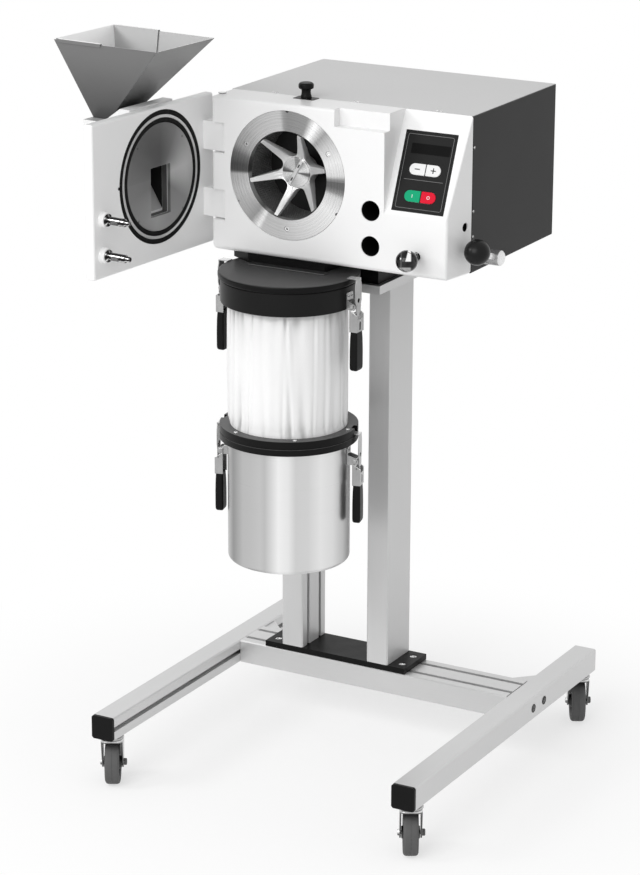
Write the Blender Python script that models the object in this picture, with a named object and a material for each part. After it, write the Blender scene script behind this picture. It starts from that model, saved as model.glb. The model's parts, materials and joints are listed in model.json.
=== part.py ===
# Rotor mill on a wheeled stand: grinding door with hopper, star rotor with ring sieve,
# filter bag and collecting vessel. Metres, +Z up, the operator stands at -Y.
import math

import bmesh
import bpy
from mathutils import Vector

# Shared clearances and counts
gap = 0.0003
overrun = 0.002
merge = 0.000001
fine_steps = 28
round_steps = 20
turn_steps = 12
small_steps = 8
hex_steps = 6
ball_steps = 6
wheel_steps = 16
key_steps = 6
eye_steps = 4
cheek_steps = 3
corner_steps = 1

# Stand: aluminium profile, plates and rails
profile = 0.040
profile_deep = 0.080
profile_corner = 0.002
slot_mouth = 0.008
slot_lip = 0.0045
slot_pocket = 0.016
slot_depth = 0.0125
leg_length = 0.662
leg_front_y = -0.4371
leg_left_x = -0.2045
leg_right_x = 0.3435
leg_bottom = 0.0911
beam_bolt_radius = 0.0055
beam_bolt_depth = 0.012
bracket_leg = 0.036
bracket_height = 0.032
leg_cap_depth = 0.005
leg_cap_corner = 0.003
base_plate_length = 0.2676
base_plate_thickness = 0.0096
base_screw_radius = 0.0065
base_screw_depth = 0.005
base_screw_inset = 0.0145
column_spacing = 0.163
column_height = 0.6505
mount_plate_width = 0.206
mount_plate_front_y = -0.082
mount_plate_length = 0.232
mount_plate_thickness = 0.014
rail_height = 0.0567
rail_width = 0.040
rail_inset = 0.008
rail_front_inset = 0.010
rail_length = 0.212

# Casters
caster_heading = math.radians(29.2)
caster_inset = 0.0235
caster_trail = 0.012
stem_radius = 0.005
stem_length = 0.026
stem_clearance = 0.0005
race_radius = 0.0195
race_height = 0.005
crown_half_width = 0.0178
crown_height = 0.0072
crown_front = 0.021
crown_rear = 0.018
cheek_thickness = 0.0026
cheek_end_radius = 0.009
cheek_end_turn = math.radians(20)
axle_radius = 0.003
axle_clearance = 0.0004
nut_radius = 0.006
nut_height = 0.005
wheel_radius = 0.0375
wheel_width = 0.024
wheel_shoulder = 0.005
wheel_hub_radius = 0.011
wheel_dish = 0.003
wheel_hub_width = 0.0288

# Mill housing and front casting
mill_left_share = 0.32182
span_width_share = 0.579
mill_width = 0.4285
mill_height = 0.248
mill_front_y = -0.2001
casting_depth = 0.0646
housing_depth = 0.2962
draft_left = 0.0039
draft_right = 0.0102
block_right_share = 0.40093
block_step = 0.002
fold_height_share = 0.37621
casting_round = 0.008
round_segments = 2
round_profile = 0.5
flat_angle = math.radians(0.1)
sheet = 0.002
cover_round = 0.0016
rear_panel_thickness = 0.0025
rear_panel_inset = 0.004
vent_length = 0.070
vent_height = 0.005
vent_pitch = 0.018
vent_count = 5
vent_column_shares = (0.3, 0.7)
recess_left_share = 0.19603
recess_drop = 0.027
recess_depth = 0.0165
side_hole_radius = 0.007
side_hole_depth = 0.026
side_hole_y = -0.1514
side_hole_height_share = 0.30927

# Grinding chamber
rotor_height_share = 0.54153
ring_outer_share = 0.41653
ring_inner_share = 0.28468
ring_depth = 0.012
ring_screw_circle_share = 0.34274
ring_screw_radius = 0.0045
ring_screw_depth = 0.003
ring_notch_radius = 0.0028
ring_angles = (math.radians(30), math.radians(150), math.radians(270))
ring_notch_angles = (math.radians(90), math.radians(210), math.radians(330))
chamber_outer_share = 0.39718
chamber_wall = 0.004
chamber_depth = 0.068
chamber_back = 0.006
chamber_bore_play = 0.0004
outlet_half_width_share = 0.18145
outlet_front = 0.020
outlet_length = 0.041
outlet_reach_share = 0.8
sieve_radius_share = 0.29194
sieve_wall = 0.0012
sieve_columns = 18
sieve_rows = 3
sieve_hole_share = 0.5
tip_radius_share = 0.275
tip_half_width = 0.0028
tip_thickness = 0.0085
tip_setback = 0.0006
root_radius_share = 0.10887
root_half_width = 0.0095
root_thickness = 0.021
valley_radius_share = 0.10484
hub_setback = 0.031
hub_length = 0.030
hub_radius_share = 0.09476
rib_root = 0.003
rib_rise = 0.006
rib_half_width = 0.0042
hub_disc_rise = 0.0027
rib_slot_half_length = 0.0035
rib_slot_half_width = 0.0011
rib_slot_radius = 0.016
rib_slot_floor = 0.0015
rib_angle = math.radians(60)
arm_count = 6
arm_phase = math.radians(12.4)
arm_ridge_share = 0.45
shaft_radius = 0.012
shaft_clearance = 0.0005
shaft_length = 0.210
shaft_nose = 0.020
motor_bore_play = 0.0015
motor_flange_radius_share = 0.28226
motor_flange_thickness = 0.011
motor_radius_share = 0.25
motor_length = 0.190
motor_cover_radius_share = 0.23589
motor_cover_length = 0.036

# Keypad on the sloping right part of the casting
pad_left_share = 0.42684
pad_width_share = 0.20793
pad_low_share = 0.03669
pad_height_share = 0.50887
pad_recess = 0.0022
pad_thickness = 0.0019
key_clearance = 0.0004
key_left_share = 0.46861
key_split_share = 0.53326
key_right_share = 0.59347
key_divide = 0.0016
key_height_share = 0.07177
key_float = 0.0012
key_thickness = 0.0018
adjust_key_low_share = 0.27016
switch_key_low_share = 0.1004

# Knobs and lever
plunger_x = 0.0026
plunger_y = -0.1441
plunger_head_radius = 0.0125
plunger_head_height = 0.009
plunger_neck_radius = 0.0085
plunger_neck_height = 0.016
plunger_pin_radius = 0.005
plunger_pin_depth = 0.012
plunger_slot_half_length = 0.019
plunger_slot_half_width = 0.0115
plunger_slot_depth = 0.002
pull_share = 0.53489
pull_height_share = 0.13508
pull_ball_radius = 0.018
pull_stand_off = 0.031
pull_stem_radius = 0.006
pull_stem_depth = 0.040
pull_clearance = 0.0004
lever_y = -0.097
lever_height_share = 0.08266
lever_hub_radius = 0.0123
lever_hub_length = 0.034
lever_hub_gap = 0.0022
lever_shaft_radius = 0.008
lever_shaft_length = 0.020
lever_arm_radius = 0.0055
lever_arm_inset = 0.013
lever_reach = 0.067
lever_tilt = math.radians(19)
lever_ball_radius = 0.0203
lever_ball_flat = 0.0165

# Door with its hinge, seals, feed and pins
hinge_inset = 0.0066
hinge_y = -0.1756
door_open = math.radians(94.4)
door_gap = 0.001
door_left_inset = 0.0015
door_right_inset = 0.0001
door_edge_inset = 0.0030
door_thickness = 0.0161
door_round = 0.003
strap_left = 0.011
strap_right = 0.017
strap_rear = 0.017
strap_corner = 0.0045
strap_play = 0.0006
strap_sweep = 0.0225
knuckle_height_share = 0.18669
knuckle_clearance = 0.001
knuckle_low_share = 0.20403
knuckle_high_share = 0.63871
hinge_pin_radius = 0.004
hinge_pin_clearance = 0.0003
hinge_pin_head_radius = 0.0065
hinge_pin_head_height = 0.0015
hinge_pin_foot = 0.010
outer_seal_radius_share = 0.42782
outer_seal_width = 0.0074
seal_depth = 0.004
seal_proud = 0.0005
seal_play = 0.0006
inner_seal_radius_share = 0.37702
inner_seal_width = 0.0077
inner_seal_depth = 0.003
feed_disc_thickness = 0.006
feed_half_width = 0.0255
feed_height_share = 0.31573
feed_drop_share = 0.0879
lock_pin_share = 0.34632
lock_pin_height_shares = (0.16048, 0.38669)
lock_hole_radius = 0.016
lock_hole_depth = 0.058
lock_boss_radius = 0.012
lock_boss_height = 0.009
lock_pin_radius = 0.0063
lock_pin_length = 0.042
lock_tip_radius = 0.0036
lock_tip_length = 0.011

# Feed chute and hopper, given with the door closed
chute_half_width = 0.056
chute_base_drop = 0.0115
chute_toe = 0.011
chute_heel = 0.0022
chute_lip_rise = 0.002
chute_lip_depth = 0.019
hopper_half_width = 0.0752
hopper_near_y = -0.1494
hopper_far_y = -0.3470
hopper_rise = 0.0986
hopper_sheet = 0.0012
throat_half_width = 0.0325
throat_near_y = -0.2730
throat_far_y = -0.3063
throat_drop_share = 0.10282
neck_length = 0.013
neck_clearance = 0.0006
insert_share = 0.46
insert_drop_share = 0.62
insert_low_share = 0.8
insert_sheet = 0.001
insert_clearance = 0.0005
hem_depth = 0.005
hem_corner = 0.006

# Collecting vessel, filter bag and lid
stack_x = 0.002
stack_y = -0.1969
duct_left = -0.0775
duct_right = 0.062
duct_flare_left = -0.117
duct_flare_back = 0.023
duct_wall = 0.009
duct_height = 0.0162
duct_foot = 0.004
lid_radius = 0.1135
lid_thickness = 0.0102
collar_radius = 0.109
collar_inner = 0.0945
collar_height = 0.0383
bag_hem_radius = 0.0935
bag_length = 0.2598
bag_neck_radius = 0.0895
bag_wide_radius = 0.0960
bag_foot_radius = 0.0905
bag_foot_hem_radius = 0.0926
bag_fold = 0.0022
bag_cloth = 0.0016
bag_steps = 24
pleat_counts = (7, 11, 4)
pleat_shares = (1.0, 0.6, 0.4)
pleat_swing_share = 0.5
bag_height_shares = (0.0, 0.118, 0.142, 0.34, 0.62, 0.83, 0.905, 1.0)
bag_swell_shares = (0.0, 0.0, 0.15, 0.75, 1.0, 0.45, 0.0, 0.0)
bag_fold_shares = (0.0, 0.0, 0.55, 1.0, 1.0, 0.8, 0.0, 0.0)
flange_radius = 0.1113
flange_inner = 0.0932
flange_height = 0.024
flange_groove_rise = 0.0128
flange_groove_height = 0.0025
flange_groove_depth = 0.0015
vessel_radius = 0.0985
vessel_wall = 0.002
vessel_height = 0.2027
vessel_corner = 0.007

# Toggle latches
latch_turn = math.radians(14)
lid_latch_stand_off = 0.010
vessel_latch_stand_off = 0.0135
latch_drop = 0.0437
latch_lip = 0.005
latch_lip_gap = 0.0005
latch_sheet = 0.0015
latch_plate_thickness = 0.003
latch_plate_root = 0.0017
hook_half_width = 0.007
hook_offset = 0.0025
crank_out = 0.0032
crank_down = 0.011
ear_inner = 0.008
ear_thickness = 0.0015
ear_reach = 0.005
ear_half_height = 0.006
ear_plate_rise = 0.022
ear_margin = 0.0008
latch_play = 0.0006
latch_notch_play = 0.0012
lever_cheek_thickness = 0.0016
lever_cheek_back = 0.0042
lever_cheek_front = 0.0095
lever_cheek_top = 0.0042
lever_cheek_length = 0.040
lever_web_start = 0.021
lever_web_thickness = 0.0016
grip_length = 0.065
grip_half_width = 0.0100
grip_half_depth = 0.0066
grip_corner_share = 0.6
grip_height_shares = (0.0, 0.12, 0.9, 1.0)
grip_size_shares = (0.88, 1.0, 1.0, 0.72)
latch_pin_radius = 0.002
hook_pin_radius = 0.0016
hook_eye_radius = 0.0032
latch_hole_play = 0.0003

# The mill's own sizes follow its width and height; the round parts follow the smaller of the two
mill_span = min(mill_height, span_width_share * mill_width)
mill_left_x = -mill_left_share * mill_width
ring_outer = ring_outer_share * mill_span
ring_inner = ring_inner_share * mill_span
ring_screw_circle = ring_screw_circle_share * mill_span
chamber_outer = chamber_outer_share * mill_span
outlet_half_width = outlet_half_width_share * mill_span
sieve_radius = sieve_radius_share * mill_span
tip_radius = tip_radius_share * mill_span
root_radius = root_radius_share * mill_span
valley_radius = valley_radius_share * mill_span
hub_radius = hub_radius_share * mill_span
motor_flange_radius = motor_flange_radius_share * mill_span
motor_radius = motor_radius_share * mill_span
motor_cover_radius = motor_cover_radius_share * mill_span
outer_seal_radius = outer_seal_radius_share * mill_span
inner_seal_radius = inner_seal_radius_share * mill_span
feed_height = feed_height_share * mill_span
feed_drop = feed_drop_share * mill_span
rotor_height = rotor_height_share * mill_height
fold_height = fold_height_share * mill_height
pad_low = pad_low_share * mill_height
pad_height = pad_height_share * mill_height
key_height = key_height_share * mill_height
adjust_key_low = adjust_key_low_share * mill_height
switch_key_low = switch_key_low_share * mill_height
pull_height = pull_height_share * mill_height
lever_height = lever_height_share * mill_height
side_hole_height = side_hole_height_share * mill_height
knuckle_low = knuckle_low_share * mill_height
knuckle_high = knuckle_high_share * mill_height
knuckle_height = knuckle_height_share * mill_height
throat_drop = throat_drop_share * mill_height
block_right_x = block_right_share * mill_width
recess_left_x = recess_left_share * mill_width
lock_pin_x = lock_pin_share * mill_width
pad_left_x = pad_left_share * mill_width
pad_width = pad_width_share * mill_width
key_left_x = key_left_share * mill_width
key_split_x = key_split_share * mill_width
key_right_x = key_right_share * mill_width
pull_x = pull_share * mill_width
lock_pin_heights = [share * mill_height for share in lock_pin_height_shares]
hinge_x = mill_left_x + hinge_inset
pocket_right_x = hinge_x + strap_right + strap_play
door_left_x = mill_left_x + door_left_inset
door_right_x = block_right_x - door_right_inset

# Levels and places that follow from the sizes above
leg_top = leg_bottom + profile
beam_left_x = leg_left_x + 0.5 * profile + gap
beam_right_x = leg_right_x - 0.5 * profile - gap
beam_mid_z = leg_bottom + 0.5 * profile
base_plate_bottom = leg_top + gap
base_plate_top = base_plate_bottom + base_plate_thickness
column_bottom = base_plate_top + gap
mount_plate_bottom = column_bottom + column_height + gap
mount_plate_top = mount_plate_bottom + mount_plate_thickness
rail_bottom = mount_plate_top + gap
mill_bottom = rail_bottom + rail_height + gap
mill_top = mill_bottom + mill_height
mill_right_x = mill_left_x + mill_width
casting_rear_y = mill_front_y + casting_depth
housing_front_y = casting_rear_y + gap
housing_rear_y = housing_front_y + housing_depth
rotor_z = mill_bottom + rotor_height
ring_rear_y = mill_front_y + ring_depth
chamber_front_y = ring_rear_y + gap
chamber_rear_y = chamber_front_y + chamber_depth
outlet_front_y = mill_front_y + outlet_front
outlet_rear_y = outlet_front_y + outlet_length
fold_z = mill_bottom + fold_height
slope_rise = mill_top - fold_z
slope_angle = math.atan2(slope_rise, casting_depth)
door_inner_y = mill_front_y - door_gap
door_outer_y = door_inner_y - door_thickness
door_bottom = mill_bottom + door_edge_inset
door_top = mill_top - door_edge_inset
feed_z = rotor_z - feed_drop
throat_z = mill_top - throat_drop
hopper_top = mill_top + hopper_rise
duct_bottom = mill_bottom - gap - duct_height
lid_top = duct_bottom - gap
collar_top = lid_top - lid_thickness - gap
collar_bottom = collar_top - collar_height
bag_top = collar_top - duct_foot
bag_bottom = bag_top - bag_length
flange_top = bag_bottom + flange_height - gap
flange_bottom = flange_top - flange_height
groove_floor = flange_bottom + flange_groove_rise
vessel_top = flange_bottom - gap
vessel_bottom = vessel_top - vessel_height


def clear_scene():
    for item in list(bpy.data.objects):
        bpy.data.objects.remove(item, do_unlink=True)


def finish(name, color, roughness, metallic=0.0):
    material = bpy.data.materials.new(name)
    material.use_nodes = True
    shader = material.node_tree.nodes["Principled BSDF"]
    shader.inputs["Base Color"].default_value = (*color, 1.0)
    shader.inputs["Roughness"].default_value = roughness
    shader.inputs["Metallic"].default_value = metallic
    return material


def empty(name, at, parent, turn=(0.0, 0.0, 0.0)):
    item = bpy.data.objects.new(name, None)
    bpy.context.scene.collection.objects.link(item)
    item.parent = parent
    item.location = at
    item.rotation_euler = turn
    return item


def place(name, bm, parent, at=(0.0, 0.0, 0.0), turn=(0.0, 0.0, 0.0), material=None, smooth=False):
    bmesh.ops.remove_doubles(bm, verts=bm.verts, dist=merge)
    bmesh.ops.recalc_face_normals(bm, faces=bm.faces)
    if bm.calc_volume(signed=True) < 0.0:
        bmesh.ops.reverse_faces(bm, faces=bm.faces)
    mesh = bpy.data.meshes.new(name)
    bm.to_mesh(mesh)
    bm.free()
    if smooth:
        mesh.shade_smooth()
        mesh.set_sharp_from_angle(angle=math.radians(35))
    item = bpy.data.objects.new(name, mesh)
    bpy.context.scene.collection.objects.link(item)
    item.parent = parent
    item.location = at
    item.rotation_euler = turn
    if material:
        mesh.materials.append(material)
    return item


def apply_shape(item, bm, operation, at=(0.0, 0.0, 0.0), turn=(0.0, 0.0, 0.0)):
    # a hidden helper shape, in the item's own space, joined to the item or taken from it
    helper = place(item.name + "_" + operation.lower(), bm, item, at, turn)
    helper.hide_render = True
    helper.display_type = "WIRE"
    step = item.modifiers.new(operation.title(), "BOOLEAN")
    step.operation = operation
    step.solver = "EXACT"
    step.object = helper


def cut(item, bm, at=(0.0, 0.0, 0.0), turn=(0.0, 0.0, 0.0)):
    apply_shape(item, bm, "DIFFERENCE", at, turn)


def fuse(item, bm, at=(0.0, 0.0, 0.0), turn=(0.0, 0.0, 0.0)):
    apply_shape(item, bm, "UNION", at, turn)


def soften(item, width, segments=2):
    step = item.modifiers.new("Bevel", "BEVEL")
    step.width = width
    step.segments = segments
    step.limit_method = "ANGLE"
    step.angle_limit = math.radians(40)


def box(low, high):
    bm = bmesh.new()
    add_box(bm, low, high)
    return bm


def add_box(bm, low, high):
    made = bmesh.ops.create_cube(bm, size=1.0)["verts"]
    low, high = Vector(low), Vector(high)
    size = high - low
    middle = 0.5 * (low + high)
    for vert in made:
        vert.co = Vector([vert.co[i] * size[i] + middle[i] for i in range(3)])


def prism(outline, start, end, along="Z"):
    # an outline pushed along one axis: X takes (y, z) points, Y takes (x, z), Z takes (x, y)
    bm = bmesh.new()
    if along == "X":
        points = [(start, u, v) for u, v in outline]
        push = Vector((end - start, 0, 0))
    elif along == "Y":
        points = [(u, start, v) for u, v in outline]
        push = Vector((0, end - start, 0))
    else:
        points = [(u, v, start) for u, v in outline]
        push = Vector((0, 0, end - start))
    face = bm.faces.new([bm.verts.new(p) for p in points])
    made = bmesh.ops.extrude_face_region(bm, geom=[face])["geom"]
    bmesh.ops.translate(bm, vec=push, verts=[g for g in made if isinstance(g, bmesh.types.BMVert)])
    return bm


def turned(outline, steps):
    # closed outline of (radius, height) points spun about Z; points on the axis close the ends
    bm = bmesh.new()
    start = math.pi / steps
    verts = [bm.verts.new((r * math.cos(start), r * math.sin(start), z)) for r, z in outline]
    edges = [bm.edges.new((verts[i], verts[i + 1])) for i in range(len(verts) - 1)]
    if outline[0][0] > 0.0 or outline[-1][0] > 0.0:
        edges.append(bm.edges.new((verts[-1], verts[0])))
    bmesh.ops.spin(bm, geom=verts + edges, cent=(0, 0, 0), axis=(0, 0, 1),
                   angle=2 * math.pi, steps=steps, use_merge=True)
    return bm


def rod(radius, start, end, steps):
    return turned([(0.0, start), (radius, start), (radius, end), (0.0, end)], steps)


def tube(outer, inner, start, end, steps):
    return turned([(inner, start), (outer, start), (outer, end), (inner, end)], steps)


def arc(radius, start, end, steps, center=(0.0, 0.0)):
    return [(center[0] + radius * math.cos(start + (end - start) * i / steps),
             center[1] + radius * math.sin(start + (end - start) * i / steps)) for i in range(steps + 1)]


def rounded_box_outline(low_u, high_u, low_v, high_v, radius):
    quarter = 0.5 * math.pi
    corners = ((high_u - radius, high_v - radius, 0), (low_u + radius, high_v - radius, 1),
               (low_u + radius, low_v + radius, 2), (high_u - radius, low_v + radius, 3))
    points = []
    for u, v, turn in corners:
        points += arc(radius, turn * quarter, (turn + 1) * quarter, corner_steps, (u, v))
    return points


FACING = {"front": (math.radians(90), 0.0, 0.0), "side": (0.0, math.radians(90), 0.0)}


def slotted_outline(half_u, half_v, slots):
    # a profile's section with T-slots; slots are (side, place along that side)
    sides = (("low", (-half_u, -half_v), (1, 0), (0, 1), 2 * half_u),
             ("right", (half_u, -half_v), (0, 1), (-1, 0), 2 * half_v),
             ("high", (half_u, half_v), (-1, 0), (0, -1), 2 * half_u),
             ("left", (-half_u, half_v), (0, -1), (1, 0), 2 * half_v))
    mouth, pocket = 0.5 * slot_mouth, 0.5 * slot_pocket
    steps = ((-mouth, 0.0), (-mouth, slot_lip), (-pocket, slot_lip), (-pocket, slot_depth),
             (pocket, slot_depth), (pocket, slot_lip), (mouth, slot_lip), (mouth, 0.0))
    points = []
    for side, start, way, inward, length in sides:
        marks = [(profile_corner, 0.0)]
        for wanted, spot in slots:
            if wanted == side:
                centre = 0.5 * length + spot
                marks += [(centre + s, d) for s, d in steps]
        marks.append((length - profile_corner, 0.0))
        for along, depth in marks:
            points.append((start[0] + way[0] * along + inward[0] * depth,
                           start[1] + way[1] * along + inward[1] * depth))
    return points


def make_finishes():
    return {
        "profile": finish("anodised_profile", (0.62, 0.63, 0.64), 0.38, 0.9),
        "black_plate": finish("black_plate", (0.018, 0.018, 0.019), 0.45),
        "black_plastic": finish("black_plastic", (0.014, 0.014, 0.015), 0.5),
        "plate": finish("aluminium_plate", (0.66, 0.66, 0.67), 0.35, 0.9),
        "zinc": finish("zinc_plated_steel", (0.60, 0.60, 0.61), 0.3, 1.0),
        "tyre": finish("grey_tyre", (0.07, 0.07, 0.07), 0.65),
        "white": finish("white_enamel", (0.83, 0.83, 0.83), 0.3),
        "hood": finish("grey_hood", (0.52, 0.52, 0.53), 0.4, 0.3),
        "steel": finish("brushed_steel", (0.60, 0.60, 0.60), 0.3, 1.0),
        "polished": finish("polished_steel", (0.72, 0.72, 0.72), 0.14, 1.0),
        "cast_iron": finish("motor_grey", (0.16, 0.17, 0.18), 0.6, 0.4),
        "membrane": finish("keypad_membrane", (0.03, 0.03, 0.032), 0.4),
        "key_white": finish("white_key", (0.85, 0.85, 0.85), 0.4),
        "key_green": finish("green_key", (0.0, 0.45, 0.27), 0.4),
        "key_red": finish("red_key", (0.72, 0.02, 0.04), 0.4),
        "seal": finish("seal_rubber", (0.02, 0.02, 0.02), 0.7),
        "sheet": finish("hopper_sheet", (0.50, 0.50, 0.50), 0.35, 1.0),
        "cloth": finish("filter_cloth", (0.87, 0.87, 0.86), 0.9),
    }


def make_profiles(root, looks):
    half = 0.5 * profile
    leg_rear_y = leg_front_y + leg_length
    for side, x, slot_side, outward in (("left", leg_left_x, "right", -1), ("right", leg_right_x, "left", 1)):
        outline = slotted_outline(half, half, [(slot_side, 0.0)])
        leg = place("leg_" + side, prism(outline, 0.0, leg_length, "Y"), root,
                    (x, leg_front_y, beam_mid_z), material=looks["profile"])
        bore = stem_radius + stem_clearance
        for y in (caster_inset, leg_length - caster_inset):
            cut(leg, rod(bore, -half - overrun, -half + stem_length + overrun, turn_steps), (0.0, y, 0.0))
        # the two bolts through each leg into the beam sit in counterbores on the outer side
        for y in (-0.25 * profile_deep, 0.25 * profile_deep):
            start = half - beam_bolt_depth
            cut(leg, rod(beam_bolt_radius, start, half + overrun, small_steps),
                (0.0, y - leg_front_y, 0.0), (0.0, math.radians(90 * outward), 0.0))
        cap = rounded_box_outline(-half, half, -half, half, leg_cap_corner)
        place("leg_cap_" + side, prism(cap, -leg_cap_depth, 0.0, "Y"), root,
              (x, leg_front_y - gap, beam_mid_z), material=looks["black_plastic"])

    quarter = 0.25 * profile_deep
    outline = slotted_outline(0.5 * profile_deep, half, [("high", -quarter), ("high", quarter)])
    beam = place("cross_beam", prism(outline, 0.0, beam_right_x - beam_left_x, "X"), root,
                 (beam_left_x, 0.0, beam_mid_z), material=looks["profile"])
    # a gusset behind the beam at each leg
    rear = 0.5 * profile_deep
    length = beam_right_x - beam_left_x
    low = -0.5 * bracket_height
    for start, way in ((0.0, 1), (length, -1)):
        corner = [(start, rear - overrun), (start + way * bracket_leg, rear - overrun),
                  (start + way * bracket_leg, rear + overrun),
                  (start + way * overrun, rear + bracket_leg), (start, rear + bracket_leg)]
        fuse(beam, prism(corner, low, low + bracket_height, "Z"))

    for side, x, slot_side in (("left", -0.5 * column_spacing, "right"), ("right", 0.5 * column_spacing, "left")):
        outline = slotted_outline(half, 0.5 * profile_deep, [(slot_side, -quarter), (slot_side, quarter)])
        place("column_" + side, prism(outline, 0.0, column_height, "Z"), root,
              (x, 0.0, column_bottom), material=looks["profile"])
    return leg_rear_y


def make_plates(root, looks):
    half_deep = 0.5 * profile_deep
    half_length = 0.5 * base_plate_length
    plate = place("base_plate", box((-half_length, -half_deep, 0.0), (half_length, half_deep, base_plate_thickness)),
                  root, (0.0, 0.0, base_plate_bottom), material=looks["black_plate"])
    for x in (-half_length + base_screw_inset, half_length - base_screw_inset):
        for y in (-0.5 * half_deep, 0.5 * half_deep):
            cut(plate, rod(base_screw_radius, base_plate_thickness - base_screw_depth,
                           base_plate_thickness + overrun, small_steps), (x, y, 0.0))

    half_width = 0.5 * mount_plate_width
    place("mount_plate", box((-half_width, 0.0, 0.0), (half_width, mount_plate_length, mount_plate_thickness)),
          root, (0.0, mount_plate_front_y, mount_plate_bottom), material=looks["plate"])

    # the welded frame between the plate and the mill: two rails and the member that ties them behind
    outer = half_width - rail_inset
    inner = outer - rail_width
    front, rear = 0.0, rail_length
    outline = [(-outer, front), (-inner, front), (-inner, rear - rail_width), (inner, rear - rail_width),
               (inner, front), (outer, front), (outer, rear), (-outer, rear)]
    place("support_frame", prism(outline, 0.0, rail_height, "Z"), root,
          (0.0, mount_plate_front_y + rail_front_inset, rail_bottom), material=looks["black_plate"])


def make_caster(root, looks, name, x, y):
    # local frame of the swivel: X along the axle, Y along the trail, Z = 0 under the leg
    swivel = empty("swivel_" + name, (x, y, leg_bottom - gap), root, (0.0, 0.0, caster_heading))
    axle_z = wheel_radius - (leg_bottom - gap)
    crown_bottom = -race_height - crown_height
    inner = crown_half_width - cheek_thickness
    fork = place("caster_fork_" + name, turned([(0.0, crown_bottom), (race_radius, crown_bottom),
                 (race_radius, -race_height - stem_clearance), (race_radius - stem_clearance, 0.0),
                 (stem_radius, 0.0), (stem_radius, stem_length), (0.0, stem_length)], turn_steps),
                 swivel, material=looks["zinc"], smooth=True)
    nose = math.acos(crown_half_width / crown_front)
    crown = arc(crown_front, math.pi + nose, 2 * math.pi - nose, cheek_steps)
    crown += [(crown_half_width, crown_rear + caster_trail), (-crown_half_width, crown_rear + caster_trail)]
    fuse(fork, prism(crown, crown_bottom, -race_height - stem_clearance, "Z"))
    end = arc(cheek_end_radius, math.pi + cheek_end_turn, 2 * math.pi - cheek_end_turn, cheek_steps,
              (caster_trail, axle_z))
    cheek_front = -crown_front * math.sin(nose)
    cheek = [(cheek_front, crown_bottom + overrun)] + end + [(crown_rear + caster_trail, crown_bottom + overrun)]
    for start in (-crown_half_width, inner):
        fuse(fork, prism(cheek, start, start + cheek_thickness, "X"))
    reach = crown_half_width + axle_radius
    fuse(fork, rod(axle_radius, -reach, reach, small_steps), (0.0, caster_trail, axle_z), FACING["side"])
    fuse(fork, rod(nut_radius, crown_half_width - stem_clearance, crown_half_width + nut_height, hex_steps),
         (0.0, caster_trail, axle_z), FACING["side"])

    axle = empty("axle_" + name, (0.0, caster_trail, axle_z), swivel)
    half = 0.5 * wheel_width
    hub = 0.5 * wheel_hub_width
    bore = axle_radius + axle_clearance
    rim = wheel_radius - wheel_shoulder
    side = [(bore, hub), (wheel_hub_radius, hub), (wheel_hub_radius + wheel_dish, half - wheel_dish), (rim, half),
            (wheel_radius, half - wheel_shoulder)]
    outline = [(r, -x) for r, x in side] + side[::-1]
    place("caster_wheel_" + name, turned(outline, wheel_steps), axle, turn=FACING["side"],
          material=looks["tyre"], smooth=True)


def make_housing(root, looks):
    right, top = mill_width, mill_height
    rear = housing_rear_y - housing_front_y
    cover = place("housing_cover", box((0.0, 0.0, 0.0), (right, rear, top)), root,
                  (mill_left_x, housing_front_y, mill_bottom), material=looks["hood"])
    soften(cover, cover_round, round_segments)
    cut(cover, box((sheet, -overrun, sheet), (right - sheet, rear + overrun, top - sheet)))
    hole = lever_shaft_radius + stem_clearance
    cut(cover, rod(hole, right - sheet - overrun, right + overrun, turn_steps),
        (0.0, lever_y - housing_front_y, lever_height), FACING["side"])

    inset = sheet + gap
    panel = place("rear_panel", box((inset, -rear_panel_thickness, inset), (right - inset, 0.0, top - inset)),
                  root, (mill_left_x, housing_rear_y - rear_panel_inset, mill_bottom), material=looks["hood"])
    slots = bmesh.new()
    for share in vent_column_shares:
        left = share * right - 0.5 * vent_length
        for row in range(vent_count):
            low = 0.5 * (top - vent_count * vent_pitch) + row * vent_pitch
            add_box(slots, (left, -rear_panel_thickness - overrun, low), (left + vent_length, overrun, low + vent_height))
    cut(panel, slots)


def casting_blank():
    # sections from left to right: the upright block, its wall, then the part whose upper face leans back
    step_x = block_right_x - mill_left_x
    upright, leaning = 0.0, casting_depth
    stations = ((draft_left, 0.0, 0.0, upright), (step_x, step_x, 0.0, upright),
                (step_x, step_x, block_step, leaning), (mill_width - draft_right, mill_width, 0.0, leaning))
    bm = bmesh.new()
    rows = []
    for front_x, rear_x, lean_x, top_y in stations:
        row = []
        for y, z in ((casting_depth, 0.0), (0.0, 0.0), (0.0, fold_height), (top_y, mill_height),
                     (casting_depth, mill_height)):
            x = front_x + (rear_x - front_x) * y / casting_depth
            row.append(bm.verts.new((x + lean_x if z == mill_height else x, y, z)))
        rows.append(row)
    for a, b in zip(rows, rows[1:]):
        for i in range(len(a)):
            j = (i + 1) % len(a)
            bm.faces.new((a[i], a[j], b[j], b[i]))
    bm.faces.new(rows[0])
    bm.faces.new(reversed(rows[-1]))
    bmesh.ops.remove_doubles(bm, verts=bm.verts, dist=merge)
    bmesh.ops.recalc_face_normals(bm, faces=bm.faces)
    bmesh.ops.bevel(bm, geom=casting_edges(bm), offset=casting_round, offset_type="OFFSET",
                    segments=round_segments, profile=round_profile, affect="EDGES", clamp_overlap=False)
    bmesh.ops.dissolve_limit(bm, angle_limit=flat_angle, verts=bm.verts, edges=bm.edges)
    return bm


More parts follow.
